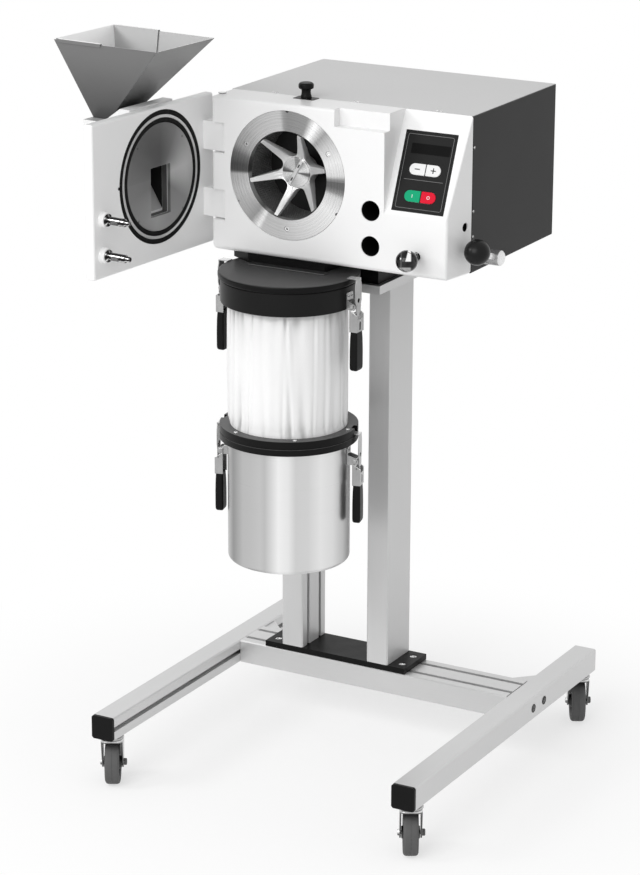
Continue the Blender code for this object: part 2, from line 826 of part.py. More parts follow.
def casting_edges(bm):
    # the edges towards the operator and those of the two ends; the rear ones stay sharp
    chosen = []
    for edge in bm.edges:
        a, b = [vert.co for vert in edge.verts]
        rear = min(a.y, b.y) > casting_depth - merge
        left = max(a.x, b.x) < draft_left + merge
        right = min(a.x, b.x) > mill_width - draft_right - merge
        low, high = sorted((a.z, b.z))
        level = max(a.y, b.y) < merge and (high < merge or low > mill_height - merge)
        if level or (left or right) and not rear:
            chosen.append(edge)
    return chosen


def make_casting(root, looks):
    casting = place("front_casting", casting_blank(), root, (mill_left_x, mill_front_y, mill_bottom), material=looks["white"],
                    smooth=True)

    def spot(x, y, z):
        return (x - mill_left_x, y - mill_front_y, z - mill_bottom)

    axis = spot(0.0, mill_front_y, rotor_z)
    seat, bore = ring_outer + gap, chamber_outer + gap
    bore_outline = [(0.0, overrun), (seat, overrun), (seat, -ring_depth - gap), (bore, -ring_depth - gap),
                    (bore, -casting_depth - overrun), (0.0, -casting_depth - overrun)]
    cut(casting, turned(bore_outline, fine_steps), axis, FACING["front"])
    cut(casting, box(spot(-outlet_half_width, outlet_front_y, mill_bottom - overrun),
                     spot(outlet_half_width, outlet_rear_y, rotor_z - outlet_reach_share * chamber_outer)))
    # the step at the block's upper right
    cut(casting, box(spot(recess_left_x, mill_front_y - overrun, mill_top - recess_drop),
                     spot(block_right_x + block_step + overrun, mill_front_y + recess_depth, mill_top + overrun)))
    for height in lock_pin_heights:
        cut(casting, rod(lock_hole_radius, -lock_hole_depth, overrun, fine_steps),
            spot(lock_pin_x, mill_front_y, mill_bottom + height), FACING["front"])
    # each strap's pocket: open to the front and the left, round where the strap's corners swing
    lip = math.acos((pocket_right_x - hinge_x) / strap_sweep)
    side = math.acos((mill_left_x - overrun - hinge_x) / strap_sweep)
    front = mill_front_y - hinge_y - overrun
    pocket = [(mill_left_x - overrun - hinge_x, front), (pocket_right_x - hinge_x, front)]
    pocket += arc(strap_sweep, -lip, side, small_steps)
    for low in (knuckle_low, knuckle_high):
        cut(casting, prism(pocket, low - knuckle_clearance, low + knuckle_height + knuckle_clearance),
            spot(hinge_x, hinge_y, mill_bottom))
    cut(casting, rod(hinge_pin_radius + hinge_pin_clearance, hinge_pin_foot, mill_height + overrun, turn_steps),
        spot(hinge_x, hinge_y, mill_bottom))
    cut(casting, rod(side_hole_radius, mill_width - side_hole_depth, mill_width + overrun, small_steps),
        spot(mill_left_x, side_hole_y, mill_bottom + side_hole_height), FACING["side"])
    cut(casting, rod(pull_stem_radius + pull_clearance, -pull_stem_depth - lock_tip_length, overrun, turn_steps),
        spot(pull_x, mill_front_y, mill_bottom + pull_height), FACING["front"])
    cut(casting, rod(plunger_pin_radius + pull_clearance, -plunger_pin_depth - overrun, overrun, turn_steps),
        spot(plunger_x, plunger_y, mill_top))
    cut(casting, box(spot(plunger_x - plunger_slot_half_length, plunger_y - plunger_slot_half_width,
                          mill_top - plunger_slot_depth),
                     spot(plunger_x + plunger_slot_half_length, plunger_y + plunger_slot_half_width,
                          mill_top + overrun)))
    # the keypad's recess, cut square to the sloping face
    recess = box((pad_left_x - gap, pad_low - gap, -pad_recess),
                 (pad_left_x + pad_width + gap, pad_low + pad_height + gap, overrun))
    cut(casting, recess, spot(0.0, mill_front_y, fold_z), (slope_angle, 0.0, 0.0))


def make_chamber(root, looks):
    axis = (0.0, chamber_front_y, rotor_z)
    inner = chamber_outer - chamber_wall
    back = -chamber_depth
    hole = shaft_radius + chamber_bore_play
    cup = [(inner, 0.0), (chamber_outer, 0.0), (chamber_outer, back), (hole, back),
           (hole, back + chamber_back), (inner, back + chamber_back)]
    chamber = place("chamber", turned(cup, fine_steps), root, axis, FACING["front"], looks["steel"], True)
    cut(chamber, box((-outlet_half_width, -chamber_outer - overrun, chamber_front_y - outlet_rear_y),
                     (outlet_half_width, -outlet_reach_share * chamber_outer, chamber_front_y - outlet_front_y)))

    ring = place("mill_ring", tube(ring_outer, ring_inner, -ring_depth, 0.0, fine_steps), root,
                 (0.0, mill_front_y, rotor_z), FACING["front"], looks["steel"], True)
    for angle in ring_angles:
        at = (ring_screw_circle * math.cos(angle), ring_screw_circle * math.sin(angle), 0.0)
        cut(ring, rod(ring_screw_radius, -ring_screw_depth, overrun, small_steps), at)
    for angle in ring_notch_angles:
        at = (ring_outer * math.cos(angle), ring_outer * math.sin(angle), 0.0)
        cut(ring, rod(ring_notch_radius, -ring_depth - overrun, overrun, small_steps), at)

    place("ring_sieve", perforated_ring(), root, axis, FACING["front"], looks["steel"])


def perforated_ring():
    # a thin ring whose wall is a grid of cells, each cell pierced by one square hole
    depth = chamber_depth - chamber_back - gap
    inner = sieve_radius - sieve_wall
    cell_height = depth / sieve_rows
    cell_angle = 2 * math.pi / sieve_columns
    edge = 0.5 * (1.0 - sieve_hole_share)
    bm = bmesh.new()

    def ring_point(radius, column, row):
        angle = column * cell_angle
        return bm.verts.new((radius * math.cos(angle), radius * math.sin(angle), -row * cell_height))

    for column in range(sieve_columns):
        for row in range(sieve_rows):
            skins = []
            for radius in (sieve_radius, inner):
                corners = [ring_point(radius, column + a, row + b) for a, b in ((0, 0), (1, 0), (1, 1), (0, 1))]
                hole = [ring_point(radius, column + a, row + b) for a, b in
                        ((edge, edge), (1 - edge, edge), (1 - edge, 1 - edge), (edge, 1 - edge))]
                for i in range(4):
                    j = (i + 1) % 4
                    bm.faces.new((corners[i], corners[j], hole[j], hole[i]))
                skins.append((corners, hole))
            (outer_corners, outer_hole), (inner_corners, inner_hole) = skins
            for i in range(4):
                j = (i + 1) % 4
                bm.faces.new((outer_hole[i], outer_hole[j], inner_hole[j], inner_hole[i]))
            if row == 0:
                bm.faces.new((outer_corners[0], outer_corners[1], inner_corners[1], inner_corners[0]))
            if row == sieve_rows - 1:
                bm.faces.new((outer_corners[3], outer_corners[2], inner_corners[2], inner_corners[3]))
    return bm


def star_rotor():
    # local frame: Z towards the operator, Z = 0 on the front face of the hub
    bm = bmesh.new()
    hub_front, hub_back = 0.0, -hub_length
    tip_front = hub_setback - tip_setback
    tip_back = tip_front - tip_thickness
    root_back = -root_thickness
    half_step = math.pi / arm_count
    front_center = bm.verts.new((0.0, 0.0, hub_front))
    back_center = bm.verts.new((0.0, 0.0, hub_back))

    def point(along, across, angle, z):
        return bm.verts.new((along * math.cos(angle) - across * math.sin(angle),
                             along * math.sin(angle) + across * math.cos(angle), z))

    valleys = []
    for k in range(arm_count):
        angle = arm_phase + 2 * k * half_step - half_step
        valleys.append((point(valley_radius, 0.0, angle, hub_front), point(valley_radius, 0.0, angle, root_back),
                        point(hub_radius, 0.0, angle, hub_back)))
    for k in range(arm_count):
        angle = arm_phase + 2 * k * half_step
        low, high = valleys[k], valleys[(k + 1) % arm_count]
        ridge = arm_ridge_share
        front = [point(root_radius, -ridge * root_half_width, angle, hub_front),
                 point(tip_radius, -ridge * tip_half_width, angle, tip_front),
                 point(tip_radius, ridge * tip_half_width, angle, tip_front),
                 point(root_radius, ridge * root_half_width, angle, hub_front)]
        back = [point(root_radius, -root_half_width, angle, root_back),
                point(tip_radius, -tip_half_width, angle, tip_back),
                point(tip_radius, tip_half_width, angle, tip_back),
                point(root_radius, root_half_width, angle, root_back)]
        spine = point(hub_radius, 0.0, angle, hub_back)
        for i in range(3):
            bm.faces.new((front[i], front[i + 1], back[i + 1], back[i]))
        bm.faces.new(front)
        bm.faces.new(back)
        bm.faces.new((front_center, low[0], front[0]))
        bm.faces.new((front_center, front[0], front[3]))
        bm.faces.new((front_center, front[3], high[0]))
        bm.faces.new((low[0], front[0], back[0], low[1]))
        bm.faces.new((high[0], front[3], back[3], high[1]))
        bm.faces.new((low[1], back[0], spine, low[2]))
        bm.faces.new((back[0], back[3], spine))
        bm.faces.new((high[1], back[3], spine, high[2]))
        bm.faces.new((back_center, low[2], spine))
        bm.faces.new((back_center, spine, high[2]))
    return bm


def make_rotor(root, looks):
    hub_y = mill_front_y + hub_setback
    spin = empty("rotor_axis", (0.0, hub_y, rotor_z), root, FACING["front"])
    rotor = place("rotor", star_rotor(), spin, material=looks["polished"])
    fuse(rotor, rod(root_radius, -rib_root, hub_disc_rise, round_steps))
    rib = box((-root_radius + rib_root, -rib_half_width, -rib_root),
              (root_radius - rib_root, rib_half_width, rib_rise))
    fuse(rotor, rib, turn=(0.0, 0.0, rib_angle))
    for side in (-1, 1):
        at = (side * rib_slot_radius * math.cos(rib_angle), side * rib_slot_radius * math.sin(rib_angle), 0.0)
        cut(rotor, box((-rib_slot_half_length, -rib_slot_half_width, rib_slot_floor),
                       (rib_slot_half_length, rib_slot_half_width, rib_rise + overrun)), at, (0.0, 0.0, rib_angle))
    cut(rotor, rod(shaft_radius + shaft_clearance, -hub_length - overrun, -hub_length + shaft_nose, round_steps))
    nose = -hub_length + shaft_nose - gap
    place("drive_shaft", rod(shaft_radius, nose - shaft_length, nose, round_steps), spin,
          material=looks["polished"], smooth=True)

    bore = shaft_radius + motor_bore_play
    face = 0.0
    body = -motor_flange_thickness
    fan = body - motor_length + motor_cover_length
    outline = [(bore, face), (motor_flange_radius, face), (motor_flange_radius, body), (motor_radius, body),
               (motor_radius, fan), (motor_cover_radius, fan), (motor_cover_radius, body - motor_length),
               (bore, body - motor_length)]
    place("motor", turned(outline, turn_steps), root, (0.0, chamber_rear_y + gap, rotor_z), FACING["front"],
          looks["cast_iron"], True)


def key_outline(low_x, high_x, low_y, high_y, round_side):
    radius = 0.5 * (high_y - low_y)
    middle = 0.5 * (low_y + high_y)
    quarter = math.radians(90)
    if round_side == "left":
        curve = arc(radius, quarter, 3 * quarter, key_steps, (low_x + radius, middle))
        return curve + [(high_x, low_y), (high_x, high_y)]
    curve = arc(radius, -quarter, quarter, key_steps, (high_x - radius, middle))
    return curve + [(low_x, high_y), (low_x, low_y)]


def make_keypad(root, looks):
    # local frame: Y up the slope from the fold, Z out of the sloping face
    slope = empty("keypad_frame", (0.0, mill_front_y, fold_z), root, (slope_angle, 0.0, 0.0))
    floor = -pad_recess
    pad = place("keypad_panel", box((0.0, 0.0, 0.0), (pad_width, pad_height, pad_thickness)), slope,
                (pad_left_x, pad_low, floor + gap), material=looks["membrane"])
    half_gap = 0.5 * key_divide
    left = (key_left_x, key_split_x - half_gap, "left")
    right = (key_split_x + half_gap, key_right_x, "right")
    keys = (("minus", left, adjust_key_low, "key_white"), ("plus", right, adjust_key_low, "key_white"),
            ("start", left, switch_key_low, "key_green"), ("stop", right, switch_key_low, "key_red"))
    for name, (low_x, high_x, round_side), low_y, look in keys:
        high_y = low_y + key_height
        play = key_clearance
        window = key_outline(low_x - play - pad_left_x, high_x + play - pad_left_x,
                             low_y - play - pad_low, high_y + play - pad_low, round_side)
        cut(pad, prism(window, -overrun, pad_thickness + overrun))
        middle = (0.5 * (low_x + high_x), 0.5 * (low_y + high_y), floor + key_float)
        outline = key_outline(low_x - middle[0], high_x - middle[0], low_y - middle[1], high_y - middle[1], round_side)
        place("key_" + name, prism(outline, 0.0, key_thickness), slope, middle, material=looks[look])


def make_controls(root, looks):
    plunger = empty("plunger_axis", (plunger_x, plunger_y, mill_top), root)
    top = plunger_neck_height + plunger_head_height
    edge = pull_clearance + plunger_slot_depth
    foot = gap - plunger_slot_depth
    outline = [(0.0, -plunger_pin_depth), (plunger_pin_radius, -plunger_pin_depth), (plunger_pin_radius, foot),
               (plunger_neck_radius, foot), (plunger_neck_radius, plunger_neck_height),
               (plunger_head_radius, plunger_neck_height + edge), (plunger_head_radius, top - edge),
               (plunger_head_radius - edge, top), (0.0, top)]
    place("index_plunger", turned(outline, turn_steps), plunger, material=looks["black_plastic"], smooth=True)

    pull = empty("pull_axis", (pull_x, mill_front_y, mill_bottom + pull_height), root, FACING["front"])
    start = math.asin(pull_stem_radius / pull_ball_radius)
    ball = arc(pull_ball_radius, start - 0.5 * math.pi, 0.5 * math.pi, ball_steps, (0.0, pull_stand_off))
    ball[-1] = (0.0, pull_stand_off + pull_ball_radius)
    outline = [(0.0, -pull_stem_depth), (pull_stem_radius, -pull_stem_depth)] + ball
    place("pull_knob", turned(outline, turn_steps), pull, material=looks["polished"], smooth=True)

    lever = empty("lever_axis", (mill_right_x, lever_y, mill_bottom + lever_height), root)
    hub_start = lever_hub_gap
    hub_end = hub_start + lever_hub_length
    outline = [(0.0, -lever_shaft_length), (lever_shaft_radius, -lever_shaft_length), (lever_shaft_radius, hub_start),
               (lever_hub_radius, hub_start), (lever_hub_radius, hub_end - lever_hub_gap),
               (lever_hub_radius - lever_hub_gap, hub_end), (0.0, hub_end)]
    arm = place("lever_arm", turned(outline, turn_steps), lever, turn=FACING["side"], material=looks["zinc"],
                smooth=True)
    # the arm leaves the hub towards the operator and upwards; the hub's own axis is its Z
    arm_at = hub_end - lever_arm_inset
    ball_face = lever_reach - lever_ball_flat - gap
    fuse(arm, rod(lever_arm_radius, 0.0, ball_face, small_steps), (0.0, 0.0, arm_at),
         (math.radians(90), 0.0, -lever_tilt))
    grip = empty("ball_axis", (arm_at, 0.0, 0.0), lever, (math.radians(90) - lever_tilt, 0.0, 0.0))
    flat = math.acos(lever_ball_flat / lever_ball_radius)
    curve = arc(lever_ball_radius, -0.5 * math.pi + flat, 0.5 * math.pi, ball_steps, (0.0, lever_reach))
    curve[-1] = (0.0, lever_reach + lever_ball_radius)
    place("lever_ball", turned([(0.0, curve[0][1])] + curve, turn_steps), grip, material=looks["black_plastic"],
          smooth=True)


def make_door(root, looks):
    # everything on the door is given with the door closed, from the hinge axis
    hinge = empty("door_hinge", (hinge_x, hinge_y, mill_bottom), root, (0.0, 0.0, -door_open))

    def spot(x, y, z):
        return (x - hinge_x, y - hinge_y, z - mill_bottom)

    door = place("door_panel", box(spot(door_left_x, door_outer_y, door_bottom),
                                   spot(door_right_x, door_inner_y, door_top)), hinge, material=looks["white"],
                 smooth=True)
    soften(door, door_round, 1)
    root_y = door_inner_y - hinge_y - overrun
    strap = [(-strap_left, root_y), (strap_right, root_y), (strap_right, strap_rear - strap_corner),
             (strap_right - strap_corner, strap_rear), (strap_corner - strap_left, strap_rear),
             (-strap_left, strap_rear - strap_corner)]
    for low in (knuckle_low, knuckle_high):
        fuse(door, prism(strap, low, low + knuckle_height))
    cut(door, rod(hinge_pin_radius + hinge_pin_clearance, -overrun, mill_height + overrun, turn_steps))
    for height in lock_pin_heights:
        fuse(door, rod(lock_boss_radius, -lock_boss_height, overrun, round_steps),
             spot(lock_pin_x, door_inner_y, mill_bottom + height), FACING["front"])
    axis = spot(0.0, door_inner_y, rotor_z)
    disc_radius = outer_seal_radius - outer_seal_width
    # the seal's and the disc's seats, turned into the inner face
    seal_seat, disc_seat = outer_seal_radius + gap, disc_radius + gap
    seats = [(0.0, -overrun), (seal_seat, -overrun), (seal_seat, seal_depth), (disc_seat, seal_depth),
             (disc_seat, feed_disc_thickness + gap), (0.0, feed_disc_thickness + gap)]
    cut(door, turned(seats, fine_steps), axis, FACING["front"])
    feed_low, feed_high = feed_z - 0.5 * feed_height, feed_z + 0.5 * feed_height
    cut(door, box(spot(-feed_half_width, door_outer_y - overrun, feed_low),
                  spot(feed_half_width, door_inner_y + overrun, feed_high)))

    proud = -seal_proud
    place("outer_seal", tube(outer_seal_radius, disc_radius + seal_play, proud, seal_depth - gap, fine_steps), hinge,
          axis, FACING["front"], looks["seal"], True)
    groove_inner = inner_seal_radius - inner_seal_width
    disc = [(0.0, 0.0), (groove_inner, 0.0), (groove_inner, inner_seal_depth), (inner_seal_radius, inner_seal_depth),
            (inner_seal_radius, 0.0), (disc_radius - gap, 0.0), (disc_radius - gap, feed_disc_thickness),
            (0.0, feed_disc_thickness)]
    plate = place("feed_disc", turned(disc, fine_steps), hinge, axis, FACING["front"], looks["steel"], True)
    cut(plate, box((-feed_half_width, -feed_drop - 0.5 * feed_height, -overrun),
                   (feed_half_width, -feed_drop + 0.5 * feed_height, feed_disc_thickness + overrun)))
    place("inner_seal", tube(inner_seal_radius - gap, groove_inner + gap, proud, inner_seal_depth - gap, fine_steps),
          hinge, axis, FACING["front"], looks["seal"], True)

    for name, height in zip(("lower", "upper"), lock_pin_heights):
        base = -lock_boss_height - gap
        body = base - lock_pin_length + lock_tip_length
        tip = base - lock_pin_length
        outline = [(0.0, base), (lock_pin_radius, base), (lock_pin_radius, body), (lock_tip_radius, body - gap),
                   (lock_tip_radius, tip), (0.0, tip)]
        place("lock_pin_" + name, turned(outline, turn_steps), hinge,
              spot(lock_pin_x, door_inner_y, mill_bottom + height), FACING["front"], looks["polished"], True)

    pin_top = mill_height + gap
    pin = [(0.0, hinge_pin_foot + gap), (hinge_pin_radius, hinge_pin_foot + gap), (hinge_pin_radius, pin_top),
           (hinge_pin_head_radius, pin_top), (hinge_pin_head_radius, pin_top + hinge_pin_head_height),
           (0.0, pin_top + hinge_pin_head_height)]
    place("hinge_pin", turned(pin, turn_steps), root, (hinge_x, hinge_y, mill_bottom), material=looks["zinc"],
          smooth=True)
    make_feed(hinge, looks)


def make_feed(hinge, looks):
    # closed-door coordinates again, carried by the hinge through one shifted frame
    feed = empty("feed_frame", (-hinge_x, -hinge_y, -mill_bottom), hinge)
    feed_low, feed_high = feed_z - 0.5 * feed_height, feed_z + 0.5 * feed_height
    face = door_outer_y - gap
    seat = throat_z - gap
    heel_y = throat_far_y - chute_heel
    side = [(face, feed_low - chute_base_drop), (face - chute_toe, feed_low - chute_base_drop),
            (heel_y, seat - neck_length - chute_heel), (heel_y, seat), (throat_near_y + chute_heel, seat),
            (face - chute_lip_depth, door_top + chute_lip_rise), (face, door_top + chute_lip_rise)]
    chute = place("feed_chute", prism(side, -chute_half_width, chute_half_width, "X"), feed, material=looks["white"])
    # the passage: straight down from the hopper's neck, then slanting to the door's opening
    mouth = neck_clearance
    neck_low = seat - neck_length - neck_clearance
    passage = bmesh.new()
    loops = []
    half, near, far = throat_half_width + mouth, throat_near_y + mouth, throat_far_y - mouth
    for level in (seat + overrun, neck_low):
        loops.append([passage.verts.new(p) for p in ((-half, near, level), (half, near, level),
                                                     (half, far, level), (-half, far, level))])
    opening = [(-feed_half_width, face + overrun, feed_high), (feed_half_width, face + overrun, feed_high),
               (feed_half_width, face + overrun, feed_low), (-feed_half_width, face + overrun, feed_low)]
    loops.append([passage.verts.new(p) for p in opening])
    for a, b in zip(loops, loops[1:]):
        for i in range(4):
            j = (i + 1) % 4
            passage.faces.new((a[i], a[j], b[j], b[i]))
    passage.faces.new(loops[0])
    passage.faces.new(reversed(loops[-1]))
    cut(chute, passage)

    skin = hopper_sheet
    levels = ((hopper_top, hopper_half_width, hopper_near_y, hopper_far_y),
              (throat_z, throat_half_width, throat_near_y, throat_far_y),
              (throat_z - neck_length, throat_half_width, throat_near_y, throat_far_y))
    bm = bmesh.new()
    outer, inner = [], []
    for z, half, near, far in levels:
        outer.append([bm.verts.new(p) for p in ((-half, near, z), (half, near, z), (half, far, z), (-half, far, z))])
        half, near, far = half - skin, near - skin, far + skin
        inner.append([bm.verts.new(p) for p in ((-half, near, z), (half, near, z), (half, far, z), (-half, far, z))])
    for loops in (outer, inner):
        for a, b in zip(loops, loops[1:]):
            for i in range(4):
                j = (i + 1) % 4
                bm.faces.new((a[i], a[j], b[j], b[i]))
    for a, b in ((outer[0], inner[0]), (outer[-1], inner[-1])):
        for i in range(4):
            j = (i + 1) % 4
            bm.faces.new((a[i], a[j], b[j], b[i]))
    place("hopper", bm, feed, material=looks["sheet"])

    # a folded liner over the outer half of the hopper, hooked over both side rims
    inside = skin + insert_clearance + insert_sheet
    drop = insert_drop_share
    top = hopper_top + insert_clearance + insert_sheet
    low = hopper_top - drop * (hopper_top - throat_z)
    top_half = hopper_half_width - inside
    low_half = top_half - drop * (hopper_half_width - throat_half_width)
    top_far = hopper_far_y + inside
    low_far = top_far + drop * (throat_far_y - hopper_far_y)
    reach = insert_share * (hopper_near_y - hopper_far_y)
    hem_x = hopper_half_width + insert_clearance + insert_sheet
    bm = bmesh.new()
    for way in (-1, 1):
        near_top = bm.verts.new((way * top_half, hopper_far_y + reach, top))
        near_low = bm.verts.new((way * low_half, low_far + insert_low_share * reach, low))
        far_top = bm.verts.new((way * top_half, top_far, top))
        far_low = bm.verts.new((way * low_half, low_far, low))
        hem_start = bm.verts.new((way * top_half, top_far + hem_corner, top))
        bm.faces.new((near_top, near_low, far_low, far_top, hem_start))
        hem_far = bm.verts.new((way * hem_x, top_far + hem_corner, top))
        hem_near = bm.verts.new((way * hem_x, hopper_far_y + reach, top))
        bm.faces.new((hem_start, hem_far, hem_near, near_top))
        drop_far = bm.verts.new((way * hem_x, top_far + hem_corner, top - hem_depth))
        drop_near = bm.verts.new((way * hem_x, hopper_far_y + reach, top - hem_depth))
        bm.faces.new((hem_far, drop_far, drop_near, hem_near))
        if way == -1:
            left_top, left_low = far_top, far_low
        else:
            bm.faces.new((left_top, far_top, far_low, left_low))
    insert = place("hopper_insert", bm, feed, material=looks["sheet"])
    step = insert.modifiers.new("Solidify", "SOLIDIFY")
    step.thickness = insert_sheet
    step.offset = 0.0
    step.use_even_offset = True


def make_stack(root, looks):
    axis = (stack_x, stack_y)
    duct_length = outlet_length + 2 * duct_wall
    outline = [(duct_left, 0.0), (duct_right, 0.0), (duct_right, duct_length), (duct_flare_left, duct_length),
               (duct_flare_left, duct_flare_back)]
    duct = place("outlet_duct", prism(outline, 0.0, duct_height, "Z"),
                 root, (0.0, outlet_front_y - duct_wall, duct_bottom), material=looks["black_plate"])
    cut(duct, box((-outlet_half_width, duct_wall, -overrun),
                  (outlet_half_width, duct_wall + outlet_length, duct_height + overrun)))

    lid = place("lid_plate", rod(lid_radius, -lid_thickness, 0.0, fine_steps), root, (*axis, lid_top),
                material=looks["black_plate"], smooth=True)
    cut(lid, box((-outlet_half_width - stack_x, outlet_front_y - stack_y, -lid_thickness - overrun),
                 (outlet_half_width - stack_x, outlet_rear_y - stack_y, overrun)))

    collar = place("lid_collar", tube(collar_radius, collar_inner, -collar_height, 0.0, fine_steps), root,
                   (*axis, collar_top), material=looks["black_plate"], smooth=True)

    place("filter_bag", pleated_bag(), root, (*axis, bag_top), material=looks["cloth"], smooth=True)

    slot_low = flange_groove_rise - flange_groove_height
    slot = flange_radius - flange_groove_depth
    outline = [(flange_inner, 0.0), (flange_radius, 0.0), (flange_radius, slot_low), (slot, slot_low),
               (slot, flange_groove_rise), (flange_radius, flange_groove_rise), (flange_radius, flange_height),
               (flange_inner, flange_height)]
    flange = place("flange_ring", turned(outline, fine_steps), root, (*axis, flange_bottom),
                   material=looks["black_plate"], smooth=True)
    notch = hook_half_width + latch_notch_play
    for turn in (latch_turn, latch_turn + math.pi):
        cut(flange, box((flange_radius - latch_lip - latch_notch_play, -notch, flange_groove_rise - gap),
                        (flange_radius + overrun, notch, flange_height + overrun)), turn=(0.0, 0.0, turn))

    inner = vessel_radius - vessel_wall
    corner = vessel_corner
    bend = arc(corner, math.radians(-90), 0.0, corner_steps, (vessel_radius - corner, corner))
    inner_bend = arc(corner - vessel_wall, 0.0, math.radians(-90), corner_steps, (vessel_radius - corner, corner))
    outline = [(0.0, 0.0)] + bend + [(vessel_radius, vessel_height), (inner, vessel_height)]
    outline += inner_bend + [(0.0, vessel_wall)]
    vessel = place("vessel", turned(outline, fine_steps), root, (*axis, vessel_bottom), material=looks["polished"],
                   smooth=True)

    for name, carrier, turn, wall, stand_off, rim, rim_radius, base in (
            ("lid_right", collar, 0.0, collar_radius, lid_latch_stand_off, lid_top, lid_radius, collar_top),
            ("lid_left", collar, math.pi, collar_radius, lid_latch_stand_off, lid_top, lid_radius, collar_top),
            ("vessel_right", vessel, latch_turn, vessel_radius, vessel_latch_stand_off, groove_floor - gap,
             flange_radius, vessel_bottom),
            ("vessel_left", vessel, latch_turn + math.pi, vessel_radius, vessel_latch_stand_off,
             groove_floor - gap, flange_radius, vessel_bottom)):
        make_latch(root, looks, name, carrier, turn, wall, stand_off, rim, rim_radius, base)


def pleated_bag():
    # radius by height, with pleats that run down the cloth; the hems at both ends stay round
    bm = bmesh.new()
    rings = []
    for share, swell, fold in zip(bag_height_shares, bag_swell_shares, bag_fold_shares):
        plain = bag_neck_radius + (bag_foot_radius - bag_neck_radius) * share
        base = plain + (bag_wide_radius - plain) * swell
        if swell == 0.0 and fold == 0.0:
            base = bag_hem_radius if share < 0.5 else bag_foot_hem_radius
        outer, inner = [], []
        for k in range(bag_steps):
            angle = 2 * math.pi * k / bag_steps
            wave = sum([weight * math.cos(count * angle + count)
                        for count, weight in zip(pleat_counts, pleat_shares)])
            radius = base - fold * bag_fold * (1.0 - pleat_swing_share * wave)
            z = -share * bag_length
            outer.append(bm.verts.new((radius * math.cos(angle), radius * math.sin(angle), z)))
            radius -= bag_cloth
            inner.append(bm.verts.new((radius * math.cos(angle), radius * math.sin(angle), z)))
        rings.append((outer, inner))
    for (outer_a, inner_a), (outer_b, inner_b) in zip(rings, rings[1:]):
        for k in range(bag_steps):
            n = (k + 1) % bag_steps
            bm.faces.new((outer_a[k], outer_a[n], outer_b[n], outer_b[k]))
            bm.faces.new((inner_a[k], inner_a[n], inner_b[n], inner_b[k]))
    for outer, inner in (rings[0], rings[-1]):
        for k in range(bag_steps):
            n = (k + 1) % bag_steps
            bm.faces.new((outer[k], outer[n], inner[n], inner[k]))
    return bm


def make_latch(root, looks, name, carrier, turn, wall, stand_off, rim, rim_radius, base):
    # local frame: X outwards from the stack's axis, Y along the rim, Z = 0 at the lever's pivot
    pivot_out = wall + stand_off
    pivot_z = rim - latch_drop
    ahead = (math.cos(turn), math.sin(turn))
    pivot = empty("latch_" + name, (stack_x + pivot_out * ahead[0], stack_y + pivot_out * ahead[1], pivot_z),
                  root, (0.0, 0.0, turn))

    # the riveted plate and its two ears belong to the collar or the vessel
    plate_half = ear_inner + ear_thickness
    level = pivot_z - base
    low = level - ear_half_height
    bottom = collar_bottom - base + ear_margin if carrier.name == "lid_collar" else low
    plate_low = max(low, bottom)
    side = plate_half + ear_margin
    plate = box((wall - latch_plate_root, -side, plate_low),
                (wall + latch_plate_thickness, side, level + ear_plate_rise))
    fuse(carrier, plate, turn=(0.0, 0.0, turn))
    hole = latch_pin_radius + latch_hole_play
    for start in (-plate_half, ear_inner):
        ear = box((wall, start, plate_low + ear_margin),
                  (pivot_out + ear_reach, start + ear_thickness, level + ear_half_height))
        fuse(carrier, ear, turn=(0.0, 0.0, turn))
    bore = rod(hole, -plate_half - overrun, plate_half + overrun, small_steps)
    cut(carrier, bore, (pivot_out * ahead[0], pivot_out * ahead[1], level), (math.radians(90), 0.0, turn))

    inner = plate_half + latch_play
    outer = inner + lever_cheek_thickness
    bottom = -lever_cheek_length
    lever = place("latch_lever_" + name, box((-lever_cheek_back, inner, bottom),
                  (lever_cheek_front, outer, lever_cheek_top)), pivot, material=looks["zinc"])
    fuse(lever, box((-lever_cheek_back, -outer, bottom), (lever_cheek_front, -inner, lever_cheek_top)))
    fuse(lever, box((lever_cheek_front - lever_web_thickness, -outer, bottom),
                    (lever_cheek_front, outer, -lever_web_start)))
    middle = 0.5 * (lever_cheek_front - lever_cheek_back)
    grip = grip_loft(middle, bottom)
    fuse(lever, grip)
    fuse(lever, rod(latch_pin_radius, -outer + latch_play, outer - latch_play, small_steps),
         turn=(math.radians(90), 0.0, 0.0))
    fuse(lever, rod(hook_pin_radius, -outer + latch_play, outer - latch_play, small_steps),
         (crank_out, 0.0, -crank_down), (math.radians(90), 0.0, 0.0))

    # the hook turns on the lever's second pin; its lip lies on the rim
    hook_axis = empty("hook_" + name, (crank_out, 0.0, -crank_down), pivot)
    lip_low = latch_drop + crank_down + latch_lip_gap
    lip_high = lip_low + latch_sheet
    strap_out = hook_offset + latch_sheet - crank_out
    strap_in = hook_offset - crank_out
    lip_in = rim_radius - latch_lip - pivot_out - crank_out
    quarter = math.radians(90)
    eye = arc(hook_eye_radius, 2 * quarter, 4 * quarter, eye_steps)
    outline = [(strap_in, lip_low), (strap_in, hook_eye_radius)] + eye
    outline += [(strap_out, hook_eye_radius), (strap_out, lip_high), (lip_in, lip_high), (lip_in, lip_low)]
    hook = place("latch_hook_" + name, prism(outline, -hook_half_width, hook_half_width, "Y"), hook_axis,
                 material=looks["zinc"])
    cut(hook, rod(hook_pin_radius + latch_hole_play, -hook_half_width - overrun, hook_half_width + overrun,
                  small_steps), turn=(math.radians(90), 0.0, 0.0))


